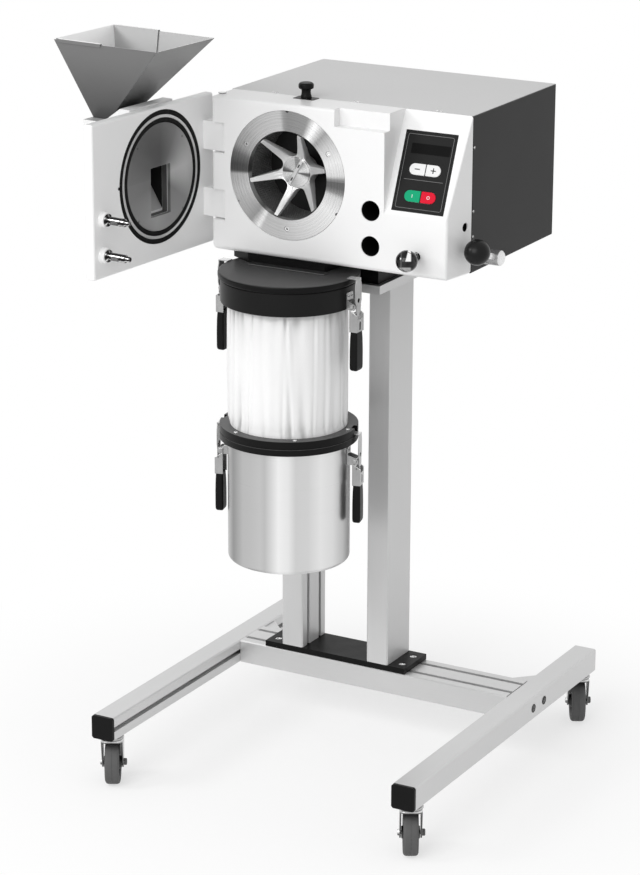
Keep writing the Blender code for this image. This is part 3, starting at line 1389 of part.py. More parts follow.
def grip_loft(middle, top):
    # the grip narrows at its neck, swells and ends round
    bm = bmesh.new()
    rings = []
    for share, size in zip(grip_height_shares, grip_size_shares):
        half_x, half_y = size * grip_half_depth, size * grip_half_width
        outline = rounded_box_outline(-half_x, half_x, -half_y, half_y, grip_corner_share * half_x)
        z = top + overrun - share * (grip_length + overrun)
        rings.append([bm.verts.new((middle + x, y, z)) for x, y in outline])
    for a, b in zip(rings, rings[1:]):
        for i in range(len(a)):
            j = (i + 1) % len(a)
            bm.faces.new((a[i], a[j], b[j], b[i]))
    bm.faces.new(rings[0])
    bm.faces.new(reversed(rings[-1]))
    return bm


def settle_origin(root):
    # the origin is the middle of the footprint, on the floor
    bpy.context.view_layer.update()
    graph = bpy.context.evaluated_depsgraph_get()
    low = Vector((math.inf, math.inf, math.inf))
    high = -low
    for item in bpy.data.objects:
        if item.type != "MESH" or item.hide_render:
            continue
        shape = item.evaluated_get(graph)
        for vert in shape.data.vertices:
            spot = shape.matrix_world @ vert.co
            low = Vector([min(a, b) for a, b in zip(low, spot)])
            high = Vector([max(a, b) for a, b in zip(high, spot)])
    middle = 0.5 * (low + high)
    root.location = (-middle.x, -middle.y, -low.z)
    bpy.context.view_layer.update()
    return high - low


def build():
    clear_scene()
    looks = make_finishes()
    root = empty("mill_origin", (0.0, 0.0, 0.0), None)
    leg_rear_y = make_profiles(root, looks)
    make_plates(root, looks)
    for end, y in (("front", leg_front_y + caster_inset), ("rear", leg_rear_y - caster_inset)):
        for side, x in (("left", leg_left_x), ("right", leg_right_x)):
            make_caster(root, looks, end + "_" + side, x, y)
    make_housing(root, looks)
    make_casting(root, looks)
    make_chamber(root, looks)
    make_rotor(root, looks)
    make_keypad(root, looks)
    make_controls(root, looks)
    make_door(root, looks)
    make_stack(root, looks)
    size = settle_origin(root)
    print("overall size", [round(s, 4) for s in size])


build()
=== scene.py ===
# Rotor mill on a wheeled stand, door open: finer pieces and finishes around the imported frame.
import json
from math import acos, asin, atan2, cos, degrees, exp, pi, radians, sin, sqrt

import bmesh
import bpy
from mathutils import Matrix, Vector
from mathutils.geometry import convex_hull_2d


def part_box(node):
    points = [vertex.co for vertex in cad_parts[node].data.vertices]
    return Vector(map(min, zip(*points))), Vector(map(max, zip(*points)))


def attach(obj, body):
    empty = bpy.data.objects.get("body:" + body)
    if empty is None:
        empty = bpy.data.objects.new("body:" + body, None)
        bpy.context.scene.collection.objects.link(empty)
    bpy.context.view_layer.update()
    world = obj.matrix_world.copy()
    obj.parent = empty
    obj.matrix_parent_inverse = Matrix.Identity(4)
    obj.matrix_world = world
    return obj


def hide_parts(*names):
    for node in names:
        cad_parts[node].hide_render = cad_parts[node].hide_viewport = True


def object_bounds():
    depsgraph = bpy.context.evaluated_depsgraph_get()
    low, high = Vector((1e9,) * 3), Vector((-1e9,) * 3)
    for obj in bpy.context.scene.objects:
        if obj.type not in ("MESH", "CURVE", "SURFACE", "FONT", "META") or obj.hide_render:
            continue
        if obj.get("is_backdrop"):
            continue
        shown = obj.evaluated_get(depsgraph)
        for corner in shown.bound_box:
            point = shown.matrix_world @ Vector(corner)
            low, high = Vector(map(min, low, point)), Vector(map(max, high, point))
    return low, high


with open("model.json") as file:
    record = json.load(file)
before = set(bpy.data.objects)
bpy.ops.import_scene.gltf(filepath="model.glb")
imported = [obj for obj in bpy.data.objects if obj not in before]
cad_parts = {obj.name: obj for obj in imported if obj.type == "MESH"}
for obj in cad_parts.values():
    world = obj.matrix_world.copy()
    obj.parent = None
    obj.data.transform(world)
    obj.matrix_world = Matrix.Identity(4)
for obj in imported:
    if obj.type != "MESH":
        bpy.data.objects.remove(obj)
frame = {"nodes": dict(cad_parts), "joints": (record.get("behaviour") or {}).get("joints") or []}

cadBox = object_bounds()
nodes = frame["nodes"]
still = Matrix.Identity(4)
print("frame loaded:", len(nodes), "nodes")


# places, read from the frame

def corners(node):
    return [Vector(corner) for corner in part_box(node)]


def boxIn(node, place):
    # a node's lowest and highest corners along a place's own axes
    points = [place.inverted() @ v.co for v in nodes[node].data.vertices]
    return [Vector([pick(p[i] for p in points) for i in range(3)]) for pick in (min, max)]


def centre(box):
    return 0.5 * (box[0] + box[1])


def jointOf(name):
    return next(j for j in frame["joints"] if j["name"] == name)


def placeOf(at, x=(1, 0, 0), z=(0, 0, 1)):
    # a place from its origin, the way its X points and the way its Z points
    x, z = Vector(x).normalized(), Vector(z).normalized()
    place = Matrix((x, z.cross(x), z)).transposed().to_4x4()
    place.translation = at
    return place


def frontPlace(x, y, z):
    # Z points at the operator, Y up
    return placeOf((x, y, z), z=(0, -1, 0))


def shift(x=0.0, y=0.0, z=0.0):
    return Matrix.Translation((x, y, z))


def turn(angle, axis="Z"):
    return Matrix.Rotation(radians(angle), 4, axis)


def polar(radius, angle):
    return radius * cos(radians(angle)), radius * sin(radians(angle))


# shapes

def slab(low, high):
    bm = bmesh.new()
    for v in bmesh.ops.create_cube(bm, size=1.0)["verts"]:
        v.co = Vector([low[i] if v.co[i] < 0 else high[i] for i in range(3)])
    return bm


def pushed(outline, start, end, along="Z"):
    # an outline pushed along one axis: X takes (y, z) points, Y takes (x, z), Z takes (x, y)
    bm = bmesh.new()
    spots = {"X": lambda u, v: (start, u, v), "Y": lambda u, v: (u, start, v), "Z": lambda u, v: (u, v, start)}
    face = bm.faces.new([bm.verts.new(spots[along](u, v)) for u, v in outline])
    made = bmesh.ops.extrude_face_region(bm, geom=[face])["geom"]
    step = Vector([end - start if name == along else 0.0 for name in "XYZ"])
    bmesh.ops.translate(bm, vec=step, verts=[g for g in made if isinstance(g, bmesh.types.BMVert)])
    return bm


def spun(outline, steps=96):
    # (radius, height) points spun about Z
    bm = bmesh.new()
    verts = [bm.verts.new((r, 0.0, z)) for r, z in outline]
    edges = [bm.edges.new(pair) for pair in zip(verts, verts[1:])]
    if outline[0][0] > 0.0 or outline[-1][0] > 0.0:
        edges.append(bm.edges.new((verts[-1], verts[0])))
    bmesh.ops.spin(bm, geom=verts + edges, cent=(0, 0, 0), axis=(0, 0, 1), angle=2 * pi, steps=steps, use_merge=True)
    return bm


def rod(radius, start, end, steps=32):
    return spun([(0.0, start), (radius, start), (radius, end), (0.0, end)], steps)


def arcOf(radius, start, end, steps, u=0.0, v=0.0):
    spots = [polar(radius, start + (end - start) * i / steps) for i in range(steps + 1)]
    return [(u + x, v + y) for x, y in spots]


def roundedOutline(lowU, highU, lowV, highV, radius, steps=6):
    spots = ((highU - radius, highV - radius), (lowU + radius, highV - radius), (lowU + radius, lowV + radius),
             (highU - radius, lowV + radius))
    return [p for i, (u, v) in enumerate(spots) for p in arcOf(radius, 90 * i, 90 * i + 90, steps, u, v)]


def softened(outline, radius, steps=3):
    # a (radius, height) outline with its corners rounded; points on the axis stay
    points = []
    for i, here in enumerate(outline):
        here = Vector(here)
        if here.x < 1e-6 or i in (0, len(outline) - 1) and outline[0][0] < 1e-6:
            points.append(tuple(here))
            continue
        back, ahead = Vector(outline[i - 1]) - here, Vector(outline[(i + 1) % len(outline)]) - here
        reach = min(radius, 0.45 * back.length, 0.45 * ahead.length)
        a, b = here + reach * back.normalized(), here + reach * ahead.normalized()
        points += [tuple(a.lerp(here, t).lerp(here.lerp(b, t), t)) for t in [k / steps for k in range(steps + 1)]]
    return points


def bridged(bm, *loops):
    # faces between closed rows of as many points
    for a, b in zip(loops, loops[1:]):
        for i in range(len(a)):
            n = (i + 1) % len(a)
            bm.faces.new((a[i], a[n], b[n], b[i]))


def capped(bm, loops):
    bridged(bm, *loops)
    bm.faces.new(loops[0])
    bm.faces.new(reversed(loops[-1]))


def bulk(*shapes):
    # several shapes in one mesh, each alone or with its own place
    bm = bmesh.new()
    for shape in shapes:
        shape, place = shape if isinstance(shape, tuple) else (shape, still)
        mesh = bpy.data.meshes.new("part")
        shape.to_mesh(mesh)
        shape.free()
        mesh.transform(place)
        bm.from_mesh(mesh)
        bpy.data.meshes.remove(mesh)
    return bm


def newObject(name, bm, place=still):
    bmesh.ops.remove_doubles(bm, verts=bm.verts, dist=1e-6)
    bmesh.ops.recalc_face_normals(bm, faces=bm.faces)
    mesh = bpy.data.meshes.new(name)
    bm.to_mesh(mesh)
    bm.free()
    item = bpy.data.objects.new(name, mesh)
    bpy.context.scene.collection.objects.link(item)
    item.matrix_world = place
    return item


def takenFrom(item):
    # an item's mesh as a shape again; the item goes
    bm = bmesh.new()
    bm.from_mesh(item.data)
    bpy.data.objects.remove(item, do_unlink=True)
    return bm


def settle(item):
    # modifiers become the mesh itself
    bpy.context.view_layer.update()
    shape = bpy.data.meshes.new_from_object(item.evaluated_get(bpy.context.evaluated_depsgraph_get()))
    item.modifiers.clear()
    item.data = shape


def carve(item, bm, at=still, how="DIFFERENCE"):
    # takes a shape from an item, or joins it, in the item's own space
    tool = newObject("carvingTool", bm, item.matrix_world @ at)
    step = item.modifiers.new("carve", "BOOLEAN")
    step.operation, step.solver, step.object = how, "EXACT", tool
    settle(item)
    bpy.data.objects.remove(tool, do_unlink=True)


def join(item, bm, at=still):
    carve(item, bm, at, "UNION")


def roundEdges(item, width, segments=3, angle=40, weighed=False, clamp=True):
    # weighed: only the edges that were given a weight, each in its share of the width
    step = item.modifiers.new("roundEdges", "BEVEL")
    step.width, step.segments, step.limit_method = width, segments, "WEIGHT" if weighed else "ANGLE"
    step.angle_limit = radians(angle)
    step.use_clamp_overlap = clamp
    settle(item)


def addPiece(name, bm, place, look, body="stand", node=None, smooth=30, edges=None):
    item = newObject(name, bm, place)
    if edges:
        roundEdges(item, edges)
    return dress(item, look, body, node, smooth)


def dress(item, look, body="stand", node=None, smooth=30):
    # node is the solid that the piece takes the place of
    item.data.materials.clear()
    item.data.materials.append(looks[look])
    item.data.shade_smooth()
    item.data.set_sharp_from_angle(angle=radians(smooth))
    if smooth < 60:
        step = item.modifiers.new("flatFaces", "WEIGHTED_NORMAL")
        step.keep_sharp = True
        settle(item)
    if node:
        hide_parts(node)
    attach(item, body)
    return item


# shader maths

class Wire:
    # a socket in a look's tree; sums on wires add Math nodes, node() adds any other node
    def __init__(self, tree, socket=None):
        self.tree, self.socket = tree, socket

    def node(self, kind, settings=None, values=None, out=0):
        made = self.tree.nodes.new(kind)
        for key, value in (settings or {}).items():
            if key == "stops":
                ramp = made.color_ramp
                while len(ramp.elements) < len(value):
                    ramp.elements.new(0.5)
                for element, (at, color) in zip(ramp.elements, value):
                    element.position, element.color = at, color
            else:
                setattr(made, key, value)
        for key, value in (values or {}).items():
            if isinstance(value, Wire):
                self.tree.links.new(value.socket, made.inputs[key])
            else:
                made.inputs[key].default_value = value
        return Wire(self.tree, made.outputs[out] if made.outputs else None)

    def math(self, operation, a, b=0.0):
        return self.node("ShaderNodeMath", {"operation": operation}, {0: a, 1: b})

    def __add__(self, other):
        return self.math("ADD", self, other)

    def __sub__(self, other):
        return self.math("SUBTRACT", self, other)

    def __rsub__(self, other):
        return self.math("SUBTRACT", other, self)

    def __mul__(self, other):
        return self.math("MULTIPLY", self, other)

    def __truediv__(self, other):
        return self.math("DIVIDE", self, other)

    def __gt__(self, other):
        return self.math("GREATER_THAN", self, other)

    __radd__, __rmul__ = __add__, __mul__

    def spot(self, kind="Object"):
        return self.node("ShaderNodeTexCoord", out=kind)

    def scaled(self, x, y, z):
        return self.node("ShaderNodeVectorMath", {"operation": "MULTIPLY"}, {0: self, 1: (x, y, z)})

    def part(self, axis):
        return self.node("ShaderNodeSeparateXYZ", values={0: self}, out="XYZ".index(axis))

    def radius(self):
        x, y = self.part("X"), self.part("Y")
        return self.math("SQRT", x * x + y * y)

    def angle(self):
        return self.math("ARCTAN2", self.part("Y"), self.part("X"))

    def noise(self, scale, detail=3.0, rough=0.5):
        values = {"Vector": self, "Scale": scale, "Detail": detail, "Roughness": rough}
        return self.node("ShaderNodeTexNoise", values=values)

    def grooves(self, scale, detail=2.0):
        # noise along this one value
        values = {"W": self, "Scale": scale, "Detail": detail}
        return self.node("ShaderNodeTexNoise", {"noise_dimensions": "1D"}, values)

    def between(self, low, high):
        # 0 below low, 1 above high, smooth in between
        settings = {"interpolation_type": "SMOOTHSTEP"}
        return self.node("ShaderNodeMapRange", settings, {0: self, 1: low, 2: high})

    def ramp(self, *stops):
        return self.node("ShaderNodeValToRGB", {"stops": [(s, grey(c)) for s, c in stops]}, {0: self})

    def bands(self, stops, span=1.0, lift=1.0):
        # screen levels along this wire
        return self.ramp(*[(at / span, (tone(level) * lift,) * 3) for at, level in stops])

    def mixed(self, a, b, blend="MIX"):
        # colour a where this wire is 0, colour b where it is 1; any other blend at full strength
        a, b = [c if isinstance(c, Wire) else grey(c) for c in (a, b)]
        values = {0: self if blend == "MIX" else 1.0, 6: a, 7: b}
        return self.node("ShaderNodeMix", {"data_type": "RGBA", "blend_type": blend}, values, out=2)

    def tinted(self, color, amount):
        # a colour made lighter and darker by this wire, which runs from 0 to 1
        return self.mixed(color, self.ramp((0.0, (1 - amount,) * 3), (1.0, (1 + amount,) * 3)), "MULTIPLY")


def grey(value):
    # a colour socket's value: 8-bit screen grey as a number, or linear red, green and blue
    return (*([tone(value)] * 3 if isinstance(value, (int, float)) else value[:3]), 1.0)


def tone(level):
    # screen level 0 to 255 as linear light
    share = level / 255
    return share / 12.92 if share <= 0.04045 else ((share + 0.055) / 1.055) ** 2.4


def newLook(name):
    look = bpy.data.materials.new(name)
    look.use_nodes = True
    look.node_tree.nodes.clear()
    return look, Wire(look.node_tree).spot()


def shade(look, base, rough, metal, gloss, height=None, depth=0.0001, strength=0.5, more=None):
    start = Wire(look.node_tree)
    values = {"Base Color": base, "Roughness": rough, "Metallic": metal, "Specular IOR Level": gloss, **(more or {})}
    if height:
        bump = {"Strength": strength, "Distance": depth, "Height": height}
        values["Normal"] = start.node("ShaderNodeBump", values=bump)
    shader = start.node("ShaderNodeBsdfPrincipled", values=values)
    start.node("ShaderNodeOutputMaterial", values={"Surface": shader})
    return look


# finishes

def castLook(name, level, rough, grain=320, metal=0.0, gloss=0.3, depth=0.0002, cloud=(35, 5, 0.6), speckle=0.12,
             swing=0.16, detail=3, strength=0.4):
    # moulded plastic or coated casting: a fine pebble grain
    look, spot = newLook(name)
    wear = spot.noise(*cloud)
    return shade(look, wear.tinted(level, speckle), rough + (wear - 0.5) * swing, metal, gloss,
                 spot.noise(grain, detail), depth, strength)


def paintLook(name, level, rough=0.35, speckle=0.02, peel=0.35, gloss=0.5):
    # sprayed or powder-coated paint with fine orange peel and faint cloudiness
    return castLook(name, level, rough, 1400, 0.0, gloss, 0.00012, (9, 4), speckle, 0.12, 2, peel)


def oiledLook(name, level):
    # dark, oiled steel
    return castLook(name, level, 0.52, 700, 0.4, 0.5, 0.00008, (60, 4), 0.25, 0.2, 2, 0.3)


def brushedLook(look, spot, base, along, rough, metal, streak=0.05, gloss=0.5, share=0.6):
    # metal with fine lines that run along one axis
    lines = spot.scaled(*[1.0 if axis == along else 75.0 for axis in "XYZ"]).noise(12, 3, 0.6)
    cloud = spot.noise(6, 3)
    return shade(look, (lines * share + cloud * (1 - share)).tinted(base, streak), rough + (lines - 0.5) * 0.2, metal,
                 gloss, lines, 0.00006, 0.3)


def turnedLook(name, stops, rough=0.28, metal=0.9, lift=1.0, rim=None):
    # metal faced on a lathe: rings about Z, fans of light laid on by the angle about Z as painted reflection, and a
    # brighter rim
    look, spot = newLook(name)
    radius = spot.radius()
    base = spot.math("FRACT", spot.angle() / (2 * pi) + 1.0).bands(stops, 360, lift)
    if rim:
        base = (radius > rim).mixed(radius.between(0.0, 0.088).tinted(base, 0.1), 206)
    rings = radius.grooves(2600)
    return shade(look, rings.tinted(base, 0.05), rough + (rings - 0.5) * 0.15, metal, 0.5, rings, 0.00004, 0.25)


def platedLook(name, stops, axis, rough, metal):
    # plated metal: what it mirrors is painted on by the way its surface turns about one axis, or faces along it
    look, spot = newLook(name)
    way = spot.spot("Normal")
    smudge = spot.noise(45, 4, 0.6)
    share = (way.angle() / (2 * pi) if axis == "around" else way.part(axis) * 0.5) + 0.5 + (smudge - 0.5) * 0.05
    return shade(look, smudge.tinted(share.bands(stops), 0.1), rough + (smudge - 0.5) * 0.1, metal, 0.5,
                 spot.noise(300, 3), 0.00004, 0.2)


def ballLook():
    # the pull knob mirrors a dark room with one bright window; the pattern is painted on the ball
    look, spot = newLook("chromeBall")
    x, y, z = [spot.spot("Normal").part(axis) for axis in "XYZ"]
    across = x * 0.873 - z * 0.488
    up = y * 0.953 - (x * 0.465 + z * 0.832) * 0.303
    window = (across + up * -0.25).between(-0.16, -0.06) * (0.42 - across).between(0.0, 0.12)
    window = window * (up + 0.12).between(0, 0.1)
    floor = (-0.55 - up).between(0.0, 0.12) * (0.45 - across).between(0.0, 0.2)
    streak = (across + 0.62).between(0.0, 0.06) * (-0.42 - across).between(0.0, 0.1)
    edge = (across * across + up * up).between(0.86, 0.99)
    base = spot.noise(70, 3).bands(((0.3, 20), (0.7, 62)))
    for mask, level in ((streak, 96), (floor, 172), (edge, 150), (window, 250)):
        base = mask.mixed(base, level)
    return shade(look, base, spot.noise(40, 3) * 0.05 + 0.07, 0.92, 0.5)


def hoodLook():
    # one powder coat, with painted light and shade: a light top and anthracite sides
    look, spot = newLook("hoodCoatPaintedShade")
    cloud = spot.noise(5, 4)
    # upward faces get the painted light, the others the painted shade
    up = spot.spot("Normal").part("Z").between(0.3, 0.7)
    base = up.mixed(cloud.tinted(levels["hoodSidePaintedShade"], 0.06), cloud.tinted(levels["hoodTopPaintedLight"], 0.04))
    return shade(look, base, (cloud - 0.5) * 0.1 + 0.42, 0.0, 0.16, spot.noise(1600, 2), 0.0001, 0.3)


def blackTurned(name, topLevel, sideLevel):
    # black coated metal that was turned first; upper and side faces take their own levels, which paint sheen on upper
    # faces and a highlight on the duct foot's sides
    look, spot = newLook(name)
    cloud = spot.noise(12, 4)
    # up picks the faces that take the painted sheen or highlight
    up = spot.spot("Normal").part("Z").between(0.5, 0.9)
    return shade(look, cloud.tinted(up.mixed(sideLevel, topLevel), 0.15), (cloud - 0.5) * 0.15 + 0.38, 0.0, 0.12,
                 spot.radius().grooves(1500) + spot.noise(900, 2), 0.00006, 0.3)


def vesselLook():
    # polished sheet rolled round: soft upright bands of painted reflection, and fine lines around
    look, spot = newLook("rolledSteel")
    # side runs round the vessel and picks the painted reflection bands
    side = spot.math("SINE", spot.angle() + radians(60.8)) * 0.5 + 0.5
    lines = spot.part("Z").grooves(900, 3.0)
    base = (lines * 0.5 + spot.noise(7, 3) * 0.5).tinted(side.bands(vesselPaintedReflection), 0.05)
    return shade(look, base, (lines - 0.5) * 0.1 + 0.3, 0.9, 0.5, lines, 0.00004, 0.2)


def hopperLook(low, high):
    # folded sheet with painted light and shade: darker towards the throat, the left, right and inner faces at their own
    # levels, the inner faces painted lit
    look, spot = newLook("hopperSheetPaintedShade")
    way = spot.spot("Normal")
    # height and facing pick the painted light and shade levels
    height, side = spot.part("Z").between(low, high), way.part("X").between(0.2, 0.6)
    right, left, inside, lit = [height.mixed(*hopper[face]) for face in ("right", "left", "inside", "lit")]
    base = way.part("Z").between(0.05, 0.2).mixed(side.mixed(right, left), side.mixed(inside, lit))
    return brushedLook(look, spot, base, "X", 0.4, 0.25, 0.06, 0.3, 0.5)


def clothLook(hemShadeLow, hemShadeHigh):
    # plain weave; a slightly grey band below the collar is painted shade, and creases are darkened with painted shade
    look, spot = newLook("filterCloth")
    z = spot.part("Z")
    weave = spot.math("SINE", spot.angle() * 150.0 * 2 * pi) * spot.math("SINE", z * 1700.0 * pi)
    wander = spot.scaled(1.0, 1.0, 0.15).noise(48, 2) * 0.016
    # painted shade in a band just below the collar
    hemShade = (z + wander - 0.008).between(hemShadeLow, hemShadeHigh)
    cloud = spot.noise(14, 4)
    crease = spot.node("ShaderNodeAttribute", {"attribute_type": "GEOMETRY", "attribute_name": "crease"}, out=2)
    base = hemShade.mixed(cloud.tinted(cloth["level"], 0.02), cloud.tinted(cloth["hemShadeLevel"], 0.03))
    # painted shade in the creases
    base = crease.between(0.0, 1.0).mixed(base, cloth["paintedCreaseShadeLevel"])
    return shade(look, base, weave * 0.05 + 0.85, 0.0, 0.2, weave, 0.00008, 0.3, {"Sheen Weight": 0.15})


# levels are screen greys read off the finishes in plain light; the hood's top and side levels and the cup's level also
# hold painted light and shade
# painted reflections: fans of light on the faced ring and the faced disc, by angle in degrees
ringPaintedReflection = ((0, 118), (2, 120), (6, 205), (20, 222), (38, 190), (48, 152), (54, 205), (59.4, 252), (63, 215), (68, 142),
            (90, 138), (94, 152), (98, 198), (130, 206), (154, 190), (163, 130), (174, 92), (181, 98), (184, 214),
            (200, 222), (220, 182), (230, 152), (235, 200), (238.7, 240), (243, 186), (262, 186), (290, 205),
            (328, 222), (344, 200), (349, 128), (354, 92))
discPaintedReflection = ((0, 126), (30, 112), (60, 100), (90, 98), (120, 120), (150, 162), (172, 186), (190, 172), (215, 132),
            (250, 138), (280, 156), (310, 142), (340, 130))
# painted reflections: zinc bands by facing along Z, chrome lock pin bands by angle about the pin
zincPaintedReflection = ((0.0, 60), (0.28, 84), (0.42, 128), (0.5, 166), (0.58, 196), (0.75, 226), (1.0, 242))
pinPaintedReflection = ((0.0, 30), (0.05, 40), (0.08, 215), (0.11, 60), (0.2, 26), (0.25, 180), (0.28, 60), (0.38, 24), (0.42, 205),
            (0.45, 90), (0.5, 30), (0.56, 36), (0.6, 235), (0.64, 120), (0.68, 24), (0.8, 28), (0.84, 210), (0.87, 60),
            (0.93, 24), (1.0, 30))
# painted reflection: upright bands round the vessel, by angle
vesselPaintedReflection = ((0.0, 180), (0.02, 165), (0.05, 140), (0.09, 168), (0.13, 186), (0.2, 190), (0.27, 196), (0.31, 190),
               (0.36, 214), (0.42, 240), (0.5, 232), (0.56, 208), (0.66, 212), (0.76, 230), (0.86, 220), (0.94, 186),
               (0.98, 128), (1.0, 180))
levels = {"white": 241, "hoodTopPaintedLight": 212, "hoodSidePaintedShade": 33, "profile": 212, "plate": 205, "black": 16, "plastic": 15,
          "rubber": 16, "tyre": 96, "rotor": 216, "chute": 228, "motor": 96, "keypad": 28, "sieve": 120, "cup": 24}
# hopper levels: painted shade and light by facing, low and high along the height
hopper = {"left": (84, 116), "right": (74, 140), "inside": (216, 254), "lit": (104, 150)}
# the hem band's and the creases' levels are painted shade
cloth = {"level": 244, "hemShadeLevel": 224, "paintedCreaseShadeLevel": 184}

looks = {
    "white": paintLook("whiteEnamel", levels["white"], 0.32, 0.012),
    "hood": hoodLook(),
    "profileX": brushedLook(*newLook("anodisedAlongX"), levels["profile"], "X", 0.36, 0.55),
    "profileY": brushedLook(*newLook("anodisedAlongY"), levels["profile"], "Y", 0.36, 0.55),
    "profileZ": brushedLook(*newLook("anodisedAlongZ"), levels["profile"], "Z", 0.44, 0.4),
    "plate": brushedLook(*newLook("milledPlate"), levels["plate"], "X", 0.32, 0.6, 0.06),
    "black": castLook("blackCoating", levels["black"], 0.42, 900, 0.0, 0.12, 0.0001),
    "plastic": castLook("blackPlastic", levels["plastic"], 0.38, 700, 0.0, 0.12, 0.0001),
    "gloss": castLook("glossyBall", 12, 0.3, 200, 0.0, 0.22, 0.00003),
    "rubber": castLook("sealRubber", levels["rubber"], 0.6, 500, 0.0, 0.1),
    "tyre": castLook("greyTyre", levels["tyre"], 0.7, 260, 0.0, 0.25),
    "hub": castLook("wheelHub", 46, 0.45, 300),
    "sleeve": oiledLook("feedSleeve", 92),
    # near-black, put in holes, slots and eyes as painted shade
    "deep": castLook("holeShadeBlack", 9, 0.7, 500, 0.0, 0.1),
    "zinc": platedLook("zincPlate", zincPaintedReflection, "Z", 0.2, 0.6),
    "chrome": platedLook("chromePlate", pinPaintedReflection, "around", 0.1, 0.9),
    "ball": ballLook(),
    "rotorSteel": castLook("castRotor", levels["rotor"], 0.3, 600, 0.45, 0.5, 0.00003),
    "ring": turnedLook("facedRing", ringPaintedReflection, metal=0.62, lift=1.12),
    "disc": turnedLook("facedDisc", discPaintedReflection, 0.36, 0.6, rim=0.0934),
    "sieve": oiledLook("sieveSteel", levels["sieve"]),
    # the chamber cup's near-black is painted shade of the deep chamber behind the sieve
    "cup": oiledLook("chamberSteel", levels["cup"]),
    "chute": paintLook("chutePaint", levels["chute"], 0.4, 0.015),
    "motor": castLook("motorCoat", levels["motor"], 0.55, 400, 0.2),
    "keypad": castLook("keypadFoil", levels["keypad"], 0.45, 1500, 0.0, 0.1, 0.00005),
    "window": castLook("displayWindow", 14, 0.5, 2000, 0.0, 0.05, 0.00001),
    "keyWhite": paintLook("whiteKey", 232, 0.5, 0.01, 0.2, 0.3),
    "print": paintLook("printedLine", 128, 0.5, 0.02, 0.1, 0.2),
    "mark": paintLook("printedMark", 40, 0.5, 0.02, 0.1, 0.2),
    "keyGreen": paintLook("greenKey", (0.004, 0.36, 0.17), 0.5, 0.02, 0.2, 0.12),
    "keyRed": paintLook("redKey", (0.70, 0.006, 0.03), 0.5, 0.02, 0.2, 0.12),
    # the chute's passage: dark walls as painted shade, a light floor as painted light
    "passage": paintLook("passageWallPaintedShade", 30, 0.5, 0.03, 0.2, 0.1),
    "passageFloorPaintedLight": paintLook("passageFloorPaintedLight", 176, 0.45, 0.03, 0.2, 0.2),
    # lid and flange: lighter upper faces are painted sheen; duct foot: lighter sides are a painted highlight
    "lid": blackTurned("lidCoatPaintedSheen", 78, 12),
    "collar": blackTurned("collarCoating", 24, 24),
    "foot": blackTurned("footCoatPaintedHighlight", 58, 96),
    "flange": blackTurned("flangeCoatPaintedSheen", 88, 16),
    "vessel": vesselLook(),
}
print("finishes made:", len(looks))


# stand: profiles, plates, bolts

dressedAsTheyAre = {
    "profileY": "leg_left leg_right", "profileX": "cross_beam", "profileZ": "column_left column_right",
    "plate": "mount_plate", "black": "base_plate support_frame outlet_duct", "plastic": "leg_cap_left leg_cap_right",
    "hood": "housing_cover rear_panel", "motor": "motor", "rotorSteel": "drive_shaft", "keypad": "keypad_panel",
    "zinc": "hinge_pin"}
for look, names in dressedAsTheyAre.items():
    for name in names.split():
        if not nodes[name].material_slots:
            nodes[name].data.materials.append(looks[look])
        for slot in nodes[name].material_slots:
            slot.material = looks[look]

bolt = {"radius": 0.0062, "tall": 0.0042, "socket": 0.0034, "deep": 0.0024}
boltRows = {"fromEnd": 0.0145, "sunk": 0.005, "legSunk": 0.0118}


def socketScrew(radius, tall, socket, deep):
    # a cylinder head with a hexagon socket, its top at Z = tall
    outer = softened([(0.0, 0.0), (radius, 0.0), (radius, tall), (socket * 1.02, tall)], 0.12 * radius)
    bm = bmesh.new()
    rims = [[bm.verts.new((*polar(socket, 60 * k), z)) for k in range(6)] for z in (tall, tall - deep)]
    bridged(bm, *rims)
    bm.faces.new(rims[1])
    return bulk(spun(outer + [(socket * 0.98, tall - 0.0001)], 24), bm)


def addStandBolts():
    plateBolts, legBolts = [], []
    low, high = corners("base_plate")
    rows = [low.y + share * (high.y - low.y) for share in (0.25, 0.75)]
    for x in (low.x + boltRows["fromEnd"], high.x - boltRows["fromEnd"]):
        plateBolts += [(socketScrew(**bolt), shift(x, y, high.z - boltRows["sunk"])) for y in rows]
    ring = [(0.0052, 0.0), (0.0072, 0.0), (0.0072, 0.0004), (0.0052, 0.0004)]
    for side, name in ((-1, "leg_left"), (1, "leg_right")):
        box = corners(name)
        start, z, facing = box[side > 0].x, centre(box).z, turn(90 * side, "Y")
        for y in rows:
            legBolts += [(socketScrew(**bolt), shift(start - side * boltRows["legSunk"], y, z) @ facing),
                         (spun(ring, 32), shift(start, y, z) @ facing)]
    addPiece("plateBolts", bulk(*plateBolts), still, "zinc")
    addPiece("legBolts", bulk(*legBolts), still, "plastic")


addStandBolts()
print("stand dressed")


# casters

caster = {"half": 0.0178, "rear": 0.030, "sheet": 0.0026, "crown": 0.0072, "race": 0.0195, "raceTall": 0.005,
          "endRadius": 0.009, "pin": 0.003, "nut": 0.0062, "round": 0.0009, "bodyHalf": 0.012}


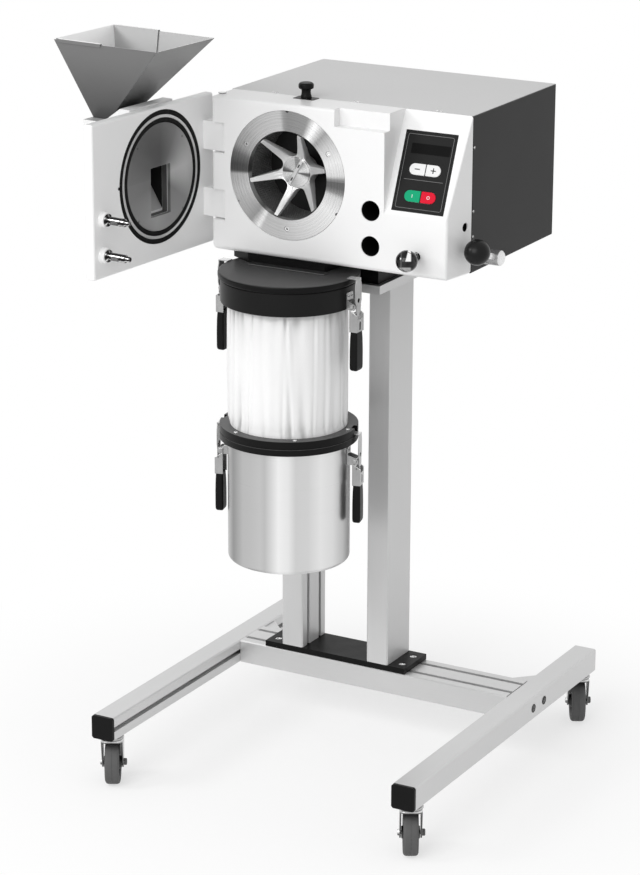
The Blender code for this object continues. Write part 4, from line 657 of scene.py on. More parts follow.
def addCaster(name):
    swivel, axle = jointOf("swivel_" + name), jointOf("axle_" + name)
    place = placeOf(swivel["pos_m"], axle["axis"])
    hub = place.inverted() @ Vector(axle["pos_m"])
    half, rear, sheet, r, t = [caster[key] for key in ("half", "rear", "sheet", "race", "raceTall")]
    crownLow, front = -t - caster["crown"], boxIn("caster_fork_" + name, place)[0].y + 0.001
    crown = roundedOutline(-half, half, front, rear, 0.008, 8)
    shell = newObject("casterFork_" + name, pushed(crown, crownLow + 0.0022, -t), place)
    roundEdges(shell, 0.0022, 4)
    cheek = [(front + 0.006, crownLow + 0.005), (rear, crownLow + 0.005)]
    cheek += arcOf(caster["endRadius"], 25, -155, 14, hub.y, hub.z)
    for start in (-half, half - sheet):
        wall = newObject("wall", pushed(cheek, start, start + sheet, "X"), place)
        roundEdges(wall, caster["round"], 3)
        join(shell, takenFrom(wall))
    fork, wheel = "caster_" + name, "wheel_" + name
    dress(shell, "zinc", fork, "caster_fork_" + name)
    race = softened([(0.0, -t), (r, -t), (r, -0.62 * t), (0.9 * r, -0.55 * t), (0.93 * r, -0.1 * t), (0.0, -0.1 * t)],
                    0.0006)
    head = [(0.0, -half - 0.0034), (0.0048, -half - 0.0028), (0.0056, -half), (0.0, -half)]
    nut = [(0.0, half), (caster["nut"], half), (caster["nut"], half + 0.0038), (0.8 * caster["nut"], half + 0.005),
           (0.0, half + 0.005)]
    side = shift(0.0, hub.y, hub.z) @ turn(90, "Y")
    turned = bulk(spun(race, 48), (spun(head, 24), side), (rod(caster["pin"], -half, half), side))
    addPiece("casterRace_" + name, turned, place, "zinc", fork)
    addPiece("casterNut_" + name, bulk((spun(nut, 6), side)), place, "motor", fork, edges=0.0003)
    wheelHigh = boxIn("caster_wheel_" + name, place)[1]
    wide, radius, b = wheelHigh.x, wheelHigh.z - hub.z, caster["bodyHalf"]
    tyre = [(0.0245, -b + 0.0015), (0.0325, -b)] + arcOf(0.005, -90, 0, 6, radius - 0.0052, -b + 0.005)
    tyre += [(radius, -0.0006), (radius - 0.0005, 0.0), (radius, 0.0006)]
    tyre += arcOf(0.005, 0, 90, 6, radius - 0.0052, b - 0.005) + [(0.0325, b), (0.0245, b - 0.0015)]
    spin = placeOf(axle["pos_m"], (0, 0, -1), axle["axis"])
    addPiece("casterTyre_" + name, spun(tyre, 72), spin, "tyre", wheel, "caster_wheel_" + name)
    core = [(caster["pin"] + 0.0004, -wide), (0.0095, -wide), (0.011, -wide + 0.003), (0.0135, -0.0085),
            (0.0235, -0.0082), (0.0247, -0.0104)]
    addPiece("casterHub_" + name, spun(core + [(u, -v) for u, v in reversed(core)], 48), spin, "hub", wheel)


for name in ("front_left", "front_right", "rear_left", "rear_right"):
    addCaster(name)
print("casters built")


# mill: casting, dark cups in its holes as painted shade, plunger plate

casting = {"draftLeft": 0.0006, "draftRight": 0.0102, "blockWidth": 0.3097, "blockStep": 0.002, "fold": 0.0933,
           "leftShare": 0.6, "rightShare": 0.6, "slopeShare": 0.2, "round": 0.0088, "topRound": 0.0048,
           "recessLeft": 0.2219, "recessDrop": 0.027, "recessDeep": 0.0165, "edge": 0.0007, "ringDeep": 0.0123,
           "slot": (0.019, 0.0115), "lockHole": (0.016, 0.058), "sideHole": (0.007, 0.026), "sideAt": (0.0487, 0.0767),
           "pullHole": (0.0066, 0.05), "strapSweep": 0.0225, "strapLip": 0.0176, "strapLow": 0.0506,
           "strapHigh": 0.1584, "strapTall": 0.0463}
castLow, castHigh = corners("front_casting")
castPlace = shift(*castLow)
ringAxis = Vector(jointOf("rotor_spin")["pos_m"])
facePlace = frontPlace(ringAxis.x, castLow.y, ringAxis.z)
hinge = jointOf("door_hinge")
hingeAt = Vector(hinge["pos_m"])
doorPlace = shift(*hingeAt) @ turn(-hinge["range_deg"][1])
padPlace = placeOf((castLow.x, castLow.y, castLow.z + casting["fold"]), z=-Vector(jointOf("key_plus_press")["axis"]))


def halfWidth(node):
    low, high = corners(node)
    return 0.5 * (high - low).x


def lockPlaceOf(name):
    # where a lock pin meets the casting's face with the door closed
    at = centre(boxIn("lock_pin_" + name, doorPlace))
    return frontPlace(hingeAt.x + at.x, castLow.y, hingeAt.z + at.z)


def drill(radius, deep, steps=32):
    # a round hole's cutter, from its depth to in front of the face
    return rod(radius, -deep, 0.02, steps)


def castingBlank(wide, deep, tall):
    step, right = casting["blockWidth"], wide - casting["draftRight"]
    bm = bmesh.new()
    rows = []
    for frontX, rearX, lean, topY in ((casting["draftLeft"], 0.0, 0.0, 0.0), (step, step, 0.0, 0.0),
                                      (step, step, casting["blockStep"], deep), (right, wide, 0.0, deep)):
        row = []
        for y, z in ((deep, 0.0), (0.0, 0.0), (0.0, casting["fold"]), (topY, tall), (deep, tall)):
            x = frontX + (rearX - frontX) * y / deep
            row.append(bm.verts.new((x + lean if z == tall else x, y, z)))
        rows.append(row)
    capped(bm, rows)
    bmesh.ops.remove_doubles(bm, verts=bm.verts, dist=1e-5)
    weights = bm.edges.layers.float.new("bevel_weight_edge")
    for edge in bm.edges:
        a, b = [v.co for v in edge.verts]
        rear, front, bottom = min(a.y, b.y) > deep - 1e-4, max(a.y, b.y) < 1e-4, max(a.z, b.z) < 1e-4
        isLeft, isRight = max(a.x, b.x) < casting["draftLeft"] + 1e-4, min(a.x, b.x) > right - 1e-4
        if bottom and (front or isLeft):
            edge[weights] = 1.0
        elif isLeft and not rear:
            edge[weights] = casting["leftShare"]
        elif isRight and (bottom or front):
            edge[weights] = casting["rightShare"]
        elif isRight and not rear:
            edge[weights] = casting["slopeShare"]
    return bm


def buildCasting():
    wide, deep, tall = castHigh - castLow
    back = castPlace.inverted()
    item = newObject("frontCasting", castingBlank(wide, deep, tall), castPlace)
    roundEdges(item, casting["round"], 6, weighed=True, clamp=False)
    left, soft = casting["recessLeft"], casting["topRound"]
    carve(item, slab((left, -0.01, tall - casting["recessDrop"]),
                     (casting["blockWidth"] + 0.0025, casting["recessDeep"], tall + 0.01)))
    # the upper front edge left of the recess
    corner = [(-0.01, tall + 0.01), (-0.01, tall - soft)] + arcOf(soft, 180, 90, 8, soft, tall - soft)
    carve(item, pushed(corner + [(soft, tall + 0.01)], -0.01, left + 0.001, "X"))
    seat, bore, depth = halfWidth("mill_ring") + 0.0003, halfWidth("chamber") + 0.0003, casting["ringDeep"]
    well = [(0.0, 0.02), (seat, 0.02), (seat, -depth), (bore, -depth), (bore, -deep - 0.02), (0.0, -deep - 0.02)]
    carve(item, spun(well, 120), back @ facePlace)
    for name in ("upper", "lower"):
        carve(item, drill(*casting["lockHole"], 64), back @ lockPlaceOf(name))
    # the straps' pockets are round where the straps' corners swing
    hx, hy, sweep = hingeAt.x - castLow.x, hingeAt.y - castLow.y, casting["strapSweep"]
    lip, outside = casting["strapLip"], -0.002
    near, far = degrees(acos(lip / sweep)), degrees(acos((outside - hx) / sweep))
    pocket = [(outside, -0.01), (hx + lip, -0.01)] + arcOf(sweep, -near, far, 24, hx, hy)
    for base in (casting["strapHigh"], casting["strapLow"]):
        carve(item, pushed(pocket, base - 0.001, base + casting["strapTall"] + 0.001))
    side = shift(wide, *casting["sideAt"]) @ turn(90, "Y")
    carve(item, drill(*casting["sideHole"], 40), side)
    slotAt, (u, v) = centre(boxIn("index_plunger", castPlace)), casting["slot"]
    carve(item, pushed(roundedOutline(-u, u, -v, v, 0.003), tall - 0.002, tall + 0.02), shift(slotAt.x, slotAt.y))
    low, high = boxIn("keypad_panel", padPlace)
    pad = roundedOutline(low.x - 0.0003, high.x + 0.0003, low.y - 0.0003, high.y + 0.0003, 0.001)
    carve(item, pushed(pad, -0.0022, 0.02), back @ padPlace)
    pull = centre(boxIn("pull_knob", castPlace))
    carve(item, drill(*casting["pullHole"]), shift(pull.x, 0.0, pull.z) @ turn(90, "X"))
    roundEdges(item, casting["edge"], 2, 50, clamp=False)
    dress(item, "white", node="front_casting", smooth=32)
    for name in ("upper", "lower"):
        addHoleShade("lockSleeve_" + name, lockPlaceOf(name), *casting["lockHole"])
    addHoleShade("sideHoleShade", castPlace @ side, *casting["sideHole"], 0.0035)
    outline = roundedOutline(0.0004 - u, u - 0.0004, 0.0004 - v, v - 0.0004, 0.0028)
    plate = newObject("plungerPlate", pushed(outline, -0.0019, 0.0003),
                      shift(castLow.x + slotAt.x, castLow.y + slotAt.y, castHigh.z))
    carve(plate, rod(0.0089, -0.01, 0.01, 48))
    roundEdges(plate, 0.0003, 2)
    dress(plate, "plastic")


def addHoleShade(name, place, radius, deep, rim=0.0012):
    # a dark cup in a hole: painted shade
    outer, inner, foot = radius - 0.0002, radius - 0.001, 0.0002 - deep
    outline = [(0.0, foot), (outer, foot), (outer, -rim), (inner, -rim), (inner, foot + 0.0008), (0.0, foot + 0.0008)]
    addPiece(name, spun(outline, 56), place, "deep")


buildCasting()
print("casting built")


# hood: screws

hood = {"topScrews": (-0.0852, 0.0608, 0.2058), "pairHalf": 0.0035, "sideScrews": (1.060, 0.960, 0.920),
        "rearIn": 0.012, "rearUp": 0.015}


def panScrew(radius, tall):
    # a low domed head with a cross recess
    head = [(0.0, -0.0004), (radius, -0.0004), (radius, 0.25 * tall)]
    head += [(radius * cos(a), 0.25 * tall + 0.75 * tall * sin(a)) for a in (0.4, 0.8, 1.2)]
    item = newObject("head", spun(head + [(0.0, tall)], 24))
    for angle in (20, 110):
        arm = slab((-0.6 * radius, -0.13 * radius, 0.4 * tall), (0.6 * radius, 0.13 * radius, 2 * tall))
        carve(item, arm, turn(angle))
    return takenFrom(item)


def addHoodScrews():
    box = low, high = corners("housing_cover")
    rear, inX, upZ = corners("rear_panel")[1].y, hood["rearIn"], hood["rearUp"]
    shapes = [(panScrew(0.0022, 0.0011), shift(x + step, low.y + 0.007, high.z))
              for x in hood["topScrews"] for step in (-hood["pairHalf"], hood["pairHalf"])]
    shapes += [(panScrew(0.0026, 0.0013), shift(high.x, low.y + 0.005, z) @ turn(90, "Y")) for z in hood["sideScrews"]]
    shapes += [(panScrew(0.0029, 0.0013), shift(x, rear, z) @ turn(-90, "X")) for x in (low.x + inX, high.x - inX)
               for z in (low.z + upZ, centre(box).z, high.z - upZ)]
    addPiece("hoodScrews", bulk(*shapes), still, "zinc")


addHoodScrews()
print("hood dressed")


# grinding chamber: ring, cup, sieve

ring = {"inner": 0.0706, "edge": 0.0006, "screwCircle": 0.085, "screw": 0.0045, "notch": 0.0028,
        "screws": (30, 150, 270), "notches": (90, 210, 330), "head": (0.0041, 0.0026, 0.0022, 0.0018)}
cup = {"wall": 0.004, "hole": 0.0128, "floor": 0.006}
duct = {"half": 0.045, "wall": 0.009}
sieve = {"wall": 0.0012, "columns": 120, "rows": 15, "hole": 0.66}


def buildRing():
    low, high = boxIn("mill_ring", facePlace)
    size, circle = halfWidth("mill_ring"), ring["screwCircle"]
    outline = [(ring["inner"], low.z), (size, low.z), (size, high.z), (ring["inner"], high.z)]
    item = newObject("millRing", spun(softened(outline, ring["edge"]), 144), facePlace)
    for angle in ring["screws"]:
        carve(item, rod(ring["screw"], -0.0032, 0.01), shift(*polar(circle, angle)))
    for angle in ring["notches"]:
        carve(item, rod(ring["notch"], -0.02, 0.01), shift(*polar(size, angle)))
    dress(item, "ring", node="mill_ring")
    heads = [(socketScrew(*ring["head"]), shift(*polar(circle, angle), -0.0031)) for angle in ring["screws"]]
    addPiece("ringScrews", bulk(*heads), facePlace, "zinc")


def buildChamber():
    low, high = boxIn("chamber", facePlace)
    outer, hole, floor = halfWidth("chamber"), cup["hole"], low.z + cup["floor"]
    inner = outer - cup["wall"]
    outline = [(inner, high.z), (outer, high.z), (outer, low.z), (hole, low.z), (hole, floor), (inner, floor)]
    item = newObject("chamberCup", spun(softened(outline, 0.001), 120), facePlace)
    ductLow, ductHigh = boxIn("outlet_duct", facePlace)
    carve(item, slab((-duct["half"], -outer - 0.01, ductLow.z + duct["wall"]),
                     (duct["half"], -0.8 * outer, ductHigh.z - duct["wall"])))
    dress(item, "cup", node="chamber")


def buildSieve():
    # slanted rows of six-sided holes in a thin ring
    low, high = boxIn("ring_sieve", facePlace)
    outer, columns, rows = 0.5 * (high.x - low.x), sieve["columns"], sieve["rows"]
    tall, wide, reach = (high.z - low.z) / rows, 360 / columns, 0.5 * sieve["hole"]
    bm = bmesh.new()
    for row in range(rows):
        for column in range(columns):
            squares, holes = [], []
            for radius in (outer, outer - sieve["wall"]):
                def spot(u, v):
                    angle = (column + u + 0.5 * (row + v)) * wide
                    return bm.verts.new((*polar(radius, angle), high.z - (row + v) * tall))
                squares.append([spot(u, v) for u, v in ((0, 0), (0.5, 0), (1, 0), (1, 1), (0.5, 1), (0, 1))])
                holes.append([spot(0.5 + reach * u, 0.5 + reach * v) for u, v in
                              ((-0.75, -0.85), (0, -1.1), (0.75, -0.85), (0.75, 0.85), (0, 1.1), (-0.75, 0.85))])
                bridged(bm, squares[-1], holes[-1])
            bridged(bm, *holes)
            a, b = squares
            for i, j in [(0, 1), (1, 2)] * (row == 0) + [(3, 4), (4, 5)] * (row == rows - 1):
                bm.faces.new((a[i], a[j], b[j], b[i]))
    addPiece("ringSieve", bm, facePlace, "sieve", node="ring_sieve")


buildRing()
buildChamber()
buildSieve()
print("chamber built")


# rotor: six swept arms that flow out of the hub

rotor = {"arms": 6, "phase": 12.4, "tip": 0.0682, "tipHalf": 0.0036, "tipFrontHalf": 0.0028, "rootAt": 0.027,
         "rootHalf": 0.0084, "rootFrontHalf": 0.0056, "valley": 0.0262, "valleyFront": 0.0254, "hub": 0.0235,
         "flat": 0.0225, "lean": 0.0304, "tipDeep": 0.0072, "rootDeep": 0.018, "deep": 0.030, "face": 0.0236,
         "faceTall": 0.0030, "ribHalf": 0.0042, "ribTall": 0.0026, "ribAngle": 60, "slotAt": 0.0125,
         "slot": (0.0011, 0.0034)}


def starOutline(rootHalf, tipHalf, valley, flank=12, bend=10):
    # one closed outline: tips, straight flanks and round valleys between the arms
    rootAt, tip, step = rotor["rootAt"], rotor["tip"], pi / rotor["arms"]
    slope = (tipHalf - rootHalf) / (tip - rootAt)
    offset = rootHalf - slope * rootAt
    a, b = sin(step) - slope * cos(step), sqrt(1 + slope * slope)
    radius = (valley * a - offset) / (b - a)
    middle = (valley + radius) * Vector((cos(step), sin(step)))
    touch = middle + radius * Vector((slope, -1)).normalized() * (1 if radius > 0 else -1)
    half = [Vector((tip, tipHalf * k / 3)) for k in range(4)]
    for k in range(1, flank):
        x = tip + (touch.x - tip) * k / flank
        half.append(Vector((x, offset + slope * x)))
    start, stop = atan2(touch.y - middle.y, touch.x - middle.x), pi + step
    stop -= 2 * pi if stop - start > pi else 0.0
    for k in range(bend + 1):
        angle = start + (stop - start) * k / bend
        half.append(middle + radius * Vector((cos(angle), sin(angle))))
    points = []
    for arm in range(rotor["arms"]):
        spin = Matrix.Rotation(2 * step * arm + radians(rotor["phase"]), 2)
        points += [spin @ Vector((p.x, -p.y)) for p in reversed(half[1:-1])] + [spin @ p for p in half]
    return points


def frontHeight(radius):
    share = max(0.0, radius - rotor["flat"]) / (rotor["tip"] - rotor["flat"])
    return rotor["lean"] * (share * share * (2.0 - share) * 0.35 + share * 0.65)


def backHeight(radius):
    share = max(0.0, radius - rotor["hub"]) / (rotor["tip"] - rotor["hub"])
    return (rotor["lean"] - rotor["tipDeep"] + rotor["rootDeep"]) * share - rotor["rootDeep"]


def starShape():
    front = starOutline(rotor["rootFrontHalf"], rotor["tipFrontHalf"], rotor["valleyFront"])
    back = starOutline(rotor["rootHalf"], rotor["tipHalf"], rotor["valley"])
    rows = [[(*(p * share), frontHeight(p.length * share)) for p in front]
            for share in (0.25, 0.5, 0.7, 0.85, 0.94, 0.985, 1.0)]
    for angle in (12, 24, 36, 48, 60, 72, 84):
        # an arm's section is a quarter of an ellipse on either side of its flat ridge
        wide, sink = sin(radians(angle)), 0.85 * (1.0 - cos(radians(angle)))
        rows.append([(*p.lerp(q, wide), frontHeight(p.length) * (1 - sink) + backHeight(q.length) * sink)
                     for p, q in zip(front, back)])
    for share, drop in ((1.0, 0.0), (0.985, 0.0004), (0.9, 0.0004), (0.75, 0.0004)):
        rows.append([(*(p * share), backHeight(p.length * share) - drop) for p in back])
    for share, z in ((0.98, -rotor["rootDeep"] - 0.002), (0.94, -rotor["deep"])):
        rows.append([(*(p.normalized() * rotor["hub"] * share), z) for p in back])
    bm = bmesh.new()
    loops = [[bm.verts.new(spot) for spot in row] for row in rows]
    bridged(bm, *loops)
    for loop, z in ((loops[0], 0.0), (loops[-1], -rotor["deep"])):
        middle = bm.verts.new((0, 0, z))
        for a, b in zip(loop, loop[1:] + loop[:1]):
            bm.faces.new((a, b, middle))
    return bm


def buildRotor():
    hubPlace = facePlace @ shift(z=boxIn("rotor", facePlace)[1].z - rotor["lean"])
    item = newObject("starRotor", starShape(), hubPlace)
    roundEdges(item, 0.0005, 2, 60)
    dress(item, "rotorSteel", "rotor", "rotor", 50)
    size, base, half, at = rotor["face"], rotor["faceTall"], rotor["ribHalf"], rotor["slotAt"]
    face = softened([(0.0, -0.001), (size + 0.002, -0.001), (size, base), (0.0, base)], 0.0009)
    # the hub face takes the faced ring's finish with its painted reflection fans
    addPiece("hubFace", spun(face, 72), hubPlace, "ring", "rotor")
    reach, top, (thin, long) = size + 0.0005, base + rotor["ribTall"], rotor["slot"]
    section = [(-half, base - 0.002), (half, base - 0.002), (0.55 * half, top), (-0.55 * half, top)]
    ridgePlace = hubPlace @ turn(rotor["ribAngle"] - 90)
    ridge = newObject("hubRidge", pushed(section, -reach, reach, "Y"), ridgePlace)
    for way in (-1, 1):
        cap = slab((-0.02, way * reach - 0.02, base - 0.01), (0.02, way * reach + 0.02, base + 0.01))
        carve(ridge, cap, shift(0, way * 0.0178, 0.0) @ turn(-18 * way, "X"))
        carve(ridge, slab((-thin, way * at - long, base - 0.0005), (thin, way * at + long, base + 0.02)))
    roundEdges(ridge, 0.0005, 3)
    dress(ridge, "rotorSteel", "rotor")
    # dark floors in the ridge's slots: painted shade
    slotShades = [slab((-thin, way * at - long, base - 0.0004), (thin, way * at + long, base + 0.0003)) for way in (-1, 1)]
    addPiece("ridgeSlotShade", bulk(*slotShades), ridgePlace, "rubber", "rotor")


buildRotor()
print("rotor built")


# keypad: printed lines, display window, keys

pad = {"line": 0.0006, "inset": 0.005, "window": (0.0141, 0.0811, 0.0909, 0.1069), "divider": (0.0111, 0.0781, 0.0499),
       "proud": 0.0001, "keyRound": 0.00048, "corner": 0.0012, "bar": 0.0044, "thin": 0.0008}


def stripLoop(lowX, highX, lowY, highY, width, radius, z):
    # a thin printed frame
    bm = bmesh.new()
    inner = (lowX + width, highX - width, lowY + width, highY - width, max(radius - width, 0.0002))
    bridged(bm, *[[bm.verts.new((*p, z)) for p in roundedOutline(*sides)]
                  for sides in ((lowX, highX, lowY, highY, radius), inner)])
    return bm


def buildKeypad():
    low, high = boxIn("keypad_panel", padPlace)
    top, inset, line = high.z + pad["proud"], pad["inset"], pad["line"]
    frameLines = stripLoop(low.x + inset, high.x - inset, low.y + inset, high.y - inset, line, 0.003, top)
    start, end, level = pad["divider"]
    divider = slab((low.x + start, low.y + level, top - 0.00008), (low.x + end, low.y + level + line, top))
    addPiece("keypadLines", bulk(frameLines, divider), padPlace, "print")
    left, right, base, head = pad["window"]
    window = roundedOutline(low.x + left, low.x + right, low.y + base, low.y + head, 0.0012)
    addPiece("displayWindow", pushed(window, top - 0.00008, top + 0.00005), padPlace, "window")
    corner, bar, thin = pad["corner"], pad["bar"], pad["thin"]
    marks = {"minus": [(bar, thin)], "plus": [(bar, thin), (thin, bar)], "start": [(0.6 * thin, 0.6 * bar)]}
    # minus and start are round on their left, plus and stop on their right
    for name, look, way in (("minus", "keyWhite", 1), ("plus", "keyWhite", -1), ("start", "keyGreen", 1),
                            ("stop", "keyRed", -1)):
        body = "key_" + name
        box = boxIn(body, padPlace)
        middle, (x, y) = centre(box), 0.5 * (box[1] - box[0]).xy
        outline = arcOf(y, 90, 270, 24, y - x) + arcOf(corner, -90, 0, 4, x - corner, corner - y)
        outline += arcOf(corner, 0, 90, 4, x - corner, y - corner)
        cap = pushed([(middle.x + way * u, middle.y + way * v) for u, v in outline], box[0].z, box[1].z + 0.0003)
        addPiece(body + "_cap", cap, padPlace, look, body, body, edges=pad["keyRound"])
        shapes = [slab((-u, -v, -0.0002), (u, v, 0.00002)) for u, v in marks.get(name, ())]
        if name == "stop":
            half = 0.6 * bar
            shapes = [stripLoop(-half, half, -half, half, thin, half * 0.999, 0.0)]
        at = padPlace @ shift(middle.x, middle.y, box[1].z + 0.00035)
        addPiece(body + "_mark", bulk(*shapes), at, "mark" if look == "keyWhite" else "keyWhite", body)


buildKeypad()
print("keypad built")


# controls: index plunger, pull knob, side lever

lever = {"hub": 0.0123, "flat": 0.0108, "flatTurn": 19, "stem": 0.0055, "neck": 0.0062, "ball": 0.0203,
         "ballFoot": 0.0165}


def ballCurve(r, foot, middle):
    # a ball's side, from the angle where its foot ends up to its top
    return arcOf(r, foot - 90, 89.99, 28, 0.0, middle)


def buildControls():
    box = corners("index_plunger")
    x, y = centre(box).xy
    r, foot, top = 0.5 * (box[1].x - box[0].x), box[0].z - castHigh.z, box[1].z - castHigh.z
    outline = [(0.0, foot), (0.005, foot), (0.005, -0.001), (0.0087, -0.001), (0.0087, 0.004), (0.0078, 0.006),
               (0.0072, 0.0105), (0.0078, top - 0.0105), (0.0112, top - 0.0094), (r, top - 0.0078), (r, top - 0.0028),
               (r - 0.0016, top - 0.0006), (r - 0.0032, top), (r - 0.0044, top - 0.0005), (0.0, top - 0.0004)]
    addPiece("indexPlunger", spun(softened(outline, 0.0009), 64), shift(x, y, castHigh.z), "plastic", "index_plunger",
             "index_plunger")
    box = low, high = boxIn("pull_knob", facePlace)
    r = 0.5 * (high.x - low.x)
    outline = [(0.0, low.z), (0.006, low.z), (0.006, 0.004), (0.0072, 0.0045), (0.0072, 0.0065), (0.0058, 0.0072)]
    outline += ballCurve(r, degrees(asin(0.0058 / r)), high.z - r) + [(0.0, high.z)]
    addPiece("pullKnob", spun(outline, 72), facePlace @ shift(*centre(box).xy), "ball", "pull_knob", "pull_knob")
    # Z runs out of the side, X away from the operator
    place = placeOf(jointOf("side_lever_turn")["pos_m"], (0, 1, 0), (1, 0, 0))
    low, high = boxIn("lever_arm", place)
    hub, end = lever["hub"], high.z
    outline = softened([(0.0, low.z), (0.008, low.z), (0.008, 0.0022), (hub, 0.0022), (hub, end - 0.0032),
                        (hub - 0.0032, end), (0.0, end)], 0.0008)
    arm = newObject("leverArm", spun(outline, 64), place)
    for way in (-1, 1):
        x = way * lever["flat"]
        carve(arm, slab((x - 0.01 * (1 - way), -0.03, 0.017), (x + 0.01 * (1 + way), 0.03, 0.025)),
              turn(lever["flatTurn"]))
    ballAt = centre(boxIn("lever_ball", place))
    long, r, stem, neck = ballAt.xy.length, lever["ball"], lever["stem"], lever["neck"]
    shank = placeOf((0, 0, ballAt.z), (0, 0, 1), (ballAt.x, ballAt.y, 0.0))
    outline = softened([(0.0, 0.0), (stem, 0.0), (stem, long - 0.026), (neck, long - 0.025), (neck, long - 0.016),
                        (0.0, long - 0.016)], 0.0006)
    join(arm, spun(outline, 40), shank)
    dress(arm, "zinc", "side_lever", "lever_arm")
    curve = ballCurve(r, degrees(acos(lever["ballFoot"] / r)), long)
    addPiece("leverBall", spun([(0.0, curve[0][1])] + curve + [(0.0, long + r)], 72), place @ shank, "gloss",
             "side_lever", "lever_ball")


buildControls()
print("controls built")


# door: panel with straps and bosses, seals, faced disc, lock pins

door = {"edge": 0.0034, "strapLeft": 0.011, "strapRight": 0.017, "strapRear": 0.017, "boss": 0.012, "bossTall": 0.009,
        "feedHalf": 0.0255, "discDeep": 0.006, "sleeveDeep": 0.0158, "skin": 0.0006, "sealWide": 0.0077,
        "screwsX": (-0.0575, 0.0575), "screwsY": (-0.0602, 0.0548)}
discBox = boxIn("feed_disc", doorPlace)
discSize = 0.5 * (discBox[1].x - discBox[0].x)
discFace = doorPlace @ frontPlace(centre(discBox).x, discBox[1].y, centre(discBox).z)


def feedSpan():
    # the feed opening's lower and upper edge from the disc's axis, read off the disc's inner vertices
    spots = [discFace.inverted() @ v.co for v in nodes["feed_disc"].data.vertices]
    ys = [p.y for p in spots if abs(abs(p.x) - door["feedHalf"]) < 0.0004 and abs(p.y) < 0.075]
    return min(ys), max(ys)


def buildDoor():
    low, high = boxIn("door_panel", doorPlace)
    inner, local, half = discBox[1].y, doorPlace.inverted() @ discFace, door["feedHalf"]
    item = newObject("doorPanel", slab((low.x + 0.0004, low.y, low.z), (high.x, inner, high.z)), doorPlace)
    roundEdges(item, door["edge"], 5)
    side = roundedOutline(-door["strapLeft"], door["strapRight"], inner - 0.008, door["strapRear"], 0.005)
    for base in (casting["strapLow"], casting["strapHigh"]):
        base += castLow.z - hingeAt.z
        strap = newObject("strap", pushed(side, base, base + casting["strapTall"]), doorPlace)
        roundEdges(strap, 0.0012, 3, 60)
        join(item, takenFrom(strap))
    carve(item, rod(0.0043, low.z - 0.01, high.z + 0.01, 40))
    seal = boxIn("outer_seal", discFace)[1].x
    seat, well = seal + 0.0003, discSize + 0.0003
    wells = [(0.0, -0.01), (seat, -0.01), (seat, 0.004), (well, 0.004), (well, 0.0063), (0.0, 0.0063)]
    carve(item, spun(wells, 144), local)
    feed = feedSpan()
    carve(item, slab((-half, feed[0], -0.02), (half, feed[1], 0.05)), local)
    r, tall = door["boss"], door["bossTall"]
    boss = softened([(0.0, -0.003), (r + 0.0016, -0.003), (r + 0.0008, 0.0006), (r, 0.0022), (r, tall), (0.0, tall)],
                    0.0022, 5)
    for name in ("upper", "lower"):
        pin = boxIn("lock_pin_" + name, doorPlace)
        at = shift(centre(pin).x, inner, centre(pin).z) @ turn(-90, "X")
        join(item, spun(boss, 56), at)
        addLockPin(name, at, pin[1].y - inner)
    roundEdges(item, 0.0005, 2, 60)
    dress(item, "white", "door", "door_panel", 32)
    buildSeals(seal, *feed)


def addLockPin(name, at, reach):
    # turned pin on its boss: collar, necks, two flats and a narrow tip
    base = door["bossTall"]
    outline = [(0.0, base), (0.0098, base), (0.0098, base + 0.0018), (0.0078, base + 0.0026), (0.0056, base + 0.003),
               (0.0056, base + 0.0052), (0.0063, base + 0.006), (0.0063, reach - 0.016), (0.0054, reach - 0.0155),
               (0.0054, reach - 0.0145), (0.0063, reach - 0.014), (0.0063, reach - 0.0085), (0.0046, reach - 0.0068),
               (0.0042, reach - 0.006), (0.0042, reach - 0.001), (0.0034, reach), (0.0, reach)]
    item = newObject("lockPin_" + name, spun(softened(outline, 0.0004), 56), doorPlace @ at)
    for low, high in ((-0.02, -0.0052), (0.0052, 0.02)):
        carve(item, slab((low, -0.02, base + 0.0085), (high, 0.02, reach - 0.019)), turn(25))
    roundEdges(item, 0.0002, 2, 50)
    dress(item, "chrome", "door", "lock_pin_" + name)


def addSeal(name, node, outer, inner, depth):
    # a rounded rubber cord pressed into its groove
    half, middle = 0.5 * (outer - inner), 0.5 * (outer + inner)
    crown = [(middle + half * cos(a), -0.0005 * sin(a)) for a in [pi * k / 10 for k in range(11)]]
    addPiece(name, spun([(outer, depth)] + crown + [(inner, depth)], 144), discFace, "rubber", "door", node)


def buildSeals(seal, feedLow, feedHigh):
    addSeal("outerSeal", "outer_seal", seal, discSize + 0.0006, 0.0036)
    inner, deep, half, skin = boxIn("inner_seal", discFace)[1].x, door["discDeep"], door["feedHalf"], door["skin"]
    addSeal("innerSeal", "inner_seal", inner - 0.0001, inner - door["sealWide"] + 0.0009, 0.0027)
    groove, edge = inner - door["sealWide"] + 0.0003, inner + 0.0003
    outline = softened([(0.0, 0.0), (groove, 0.0), (groove, 0.003), (edge, 0.003), (edge, 0.0), (discSize, 0.0),
                        (discSize, deep), (0.0, deep)], 0.0004)
    disc = newObject("feedDisc", spun(outline, 144), discFace)
    carve(disc, pushed(roundedOutline(-half, half, feedLow, feedHigh, 0.0012), -0.01, 0.02))
    roundEdges(disc, 0.0005, 2, 60)
    dress(disc, "disc", "door", "feed_disc")
    half, low, high = half - 0.0003, feedLow + 0.0003, feedHigh - 0.0003
    walls = [slab((*start, deep + skin), (*end, door["sleeveDeep"])) for start, end in (
        ((-half, low), (skin - half, high)), ((half - skin, low), (half, high)),
        ((skin - half, high - skin), (half - skin, high)), ((skin - half, low), (half - skin, low + skin)))]
    addPiece("feedSleeve", bulk(*walls), discFace, "sleeve", "door")
    addPiece("sealTab", rod(0.0024, -0.0009, 0.003, 24), discFace @ shift(seal + 0.0016, 0.001), "rubber", "door",
             edges=0.0004)
    heads = [(panScrew(0.0027, 0.0012), shift(x, y, 0.001) @ turn(180, "X")) for x in door["screwsX"]
             for y in door["screwsY"]]
    addPiece("discScrews", bulk(*heads), discFace, "zinc", "door")


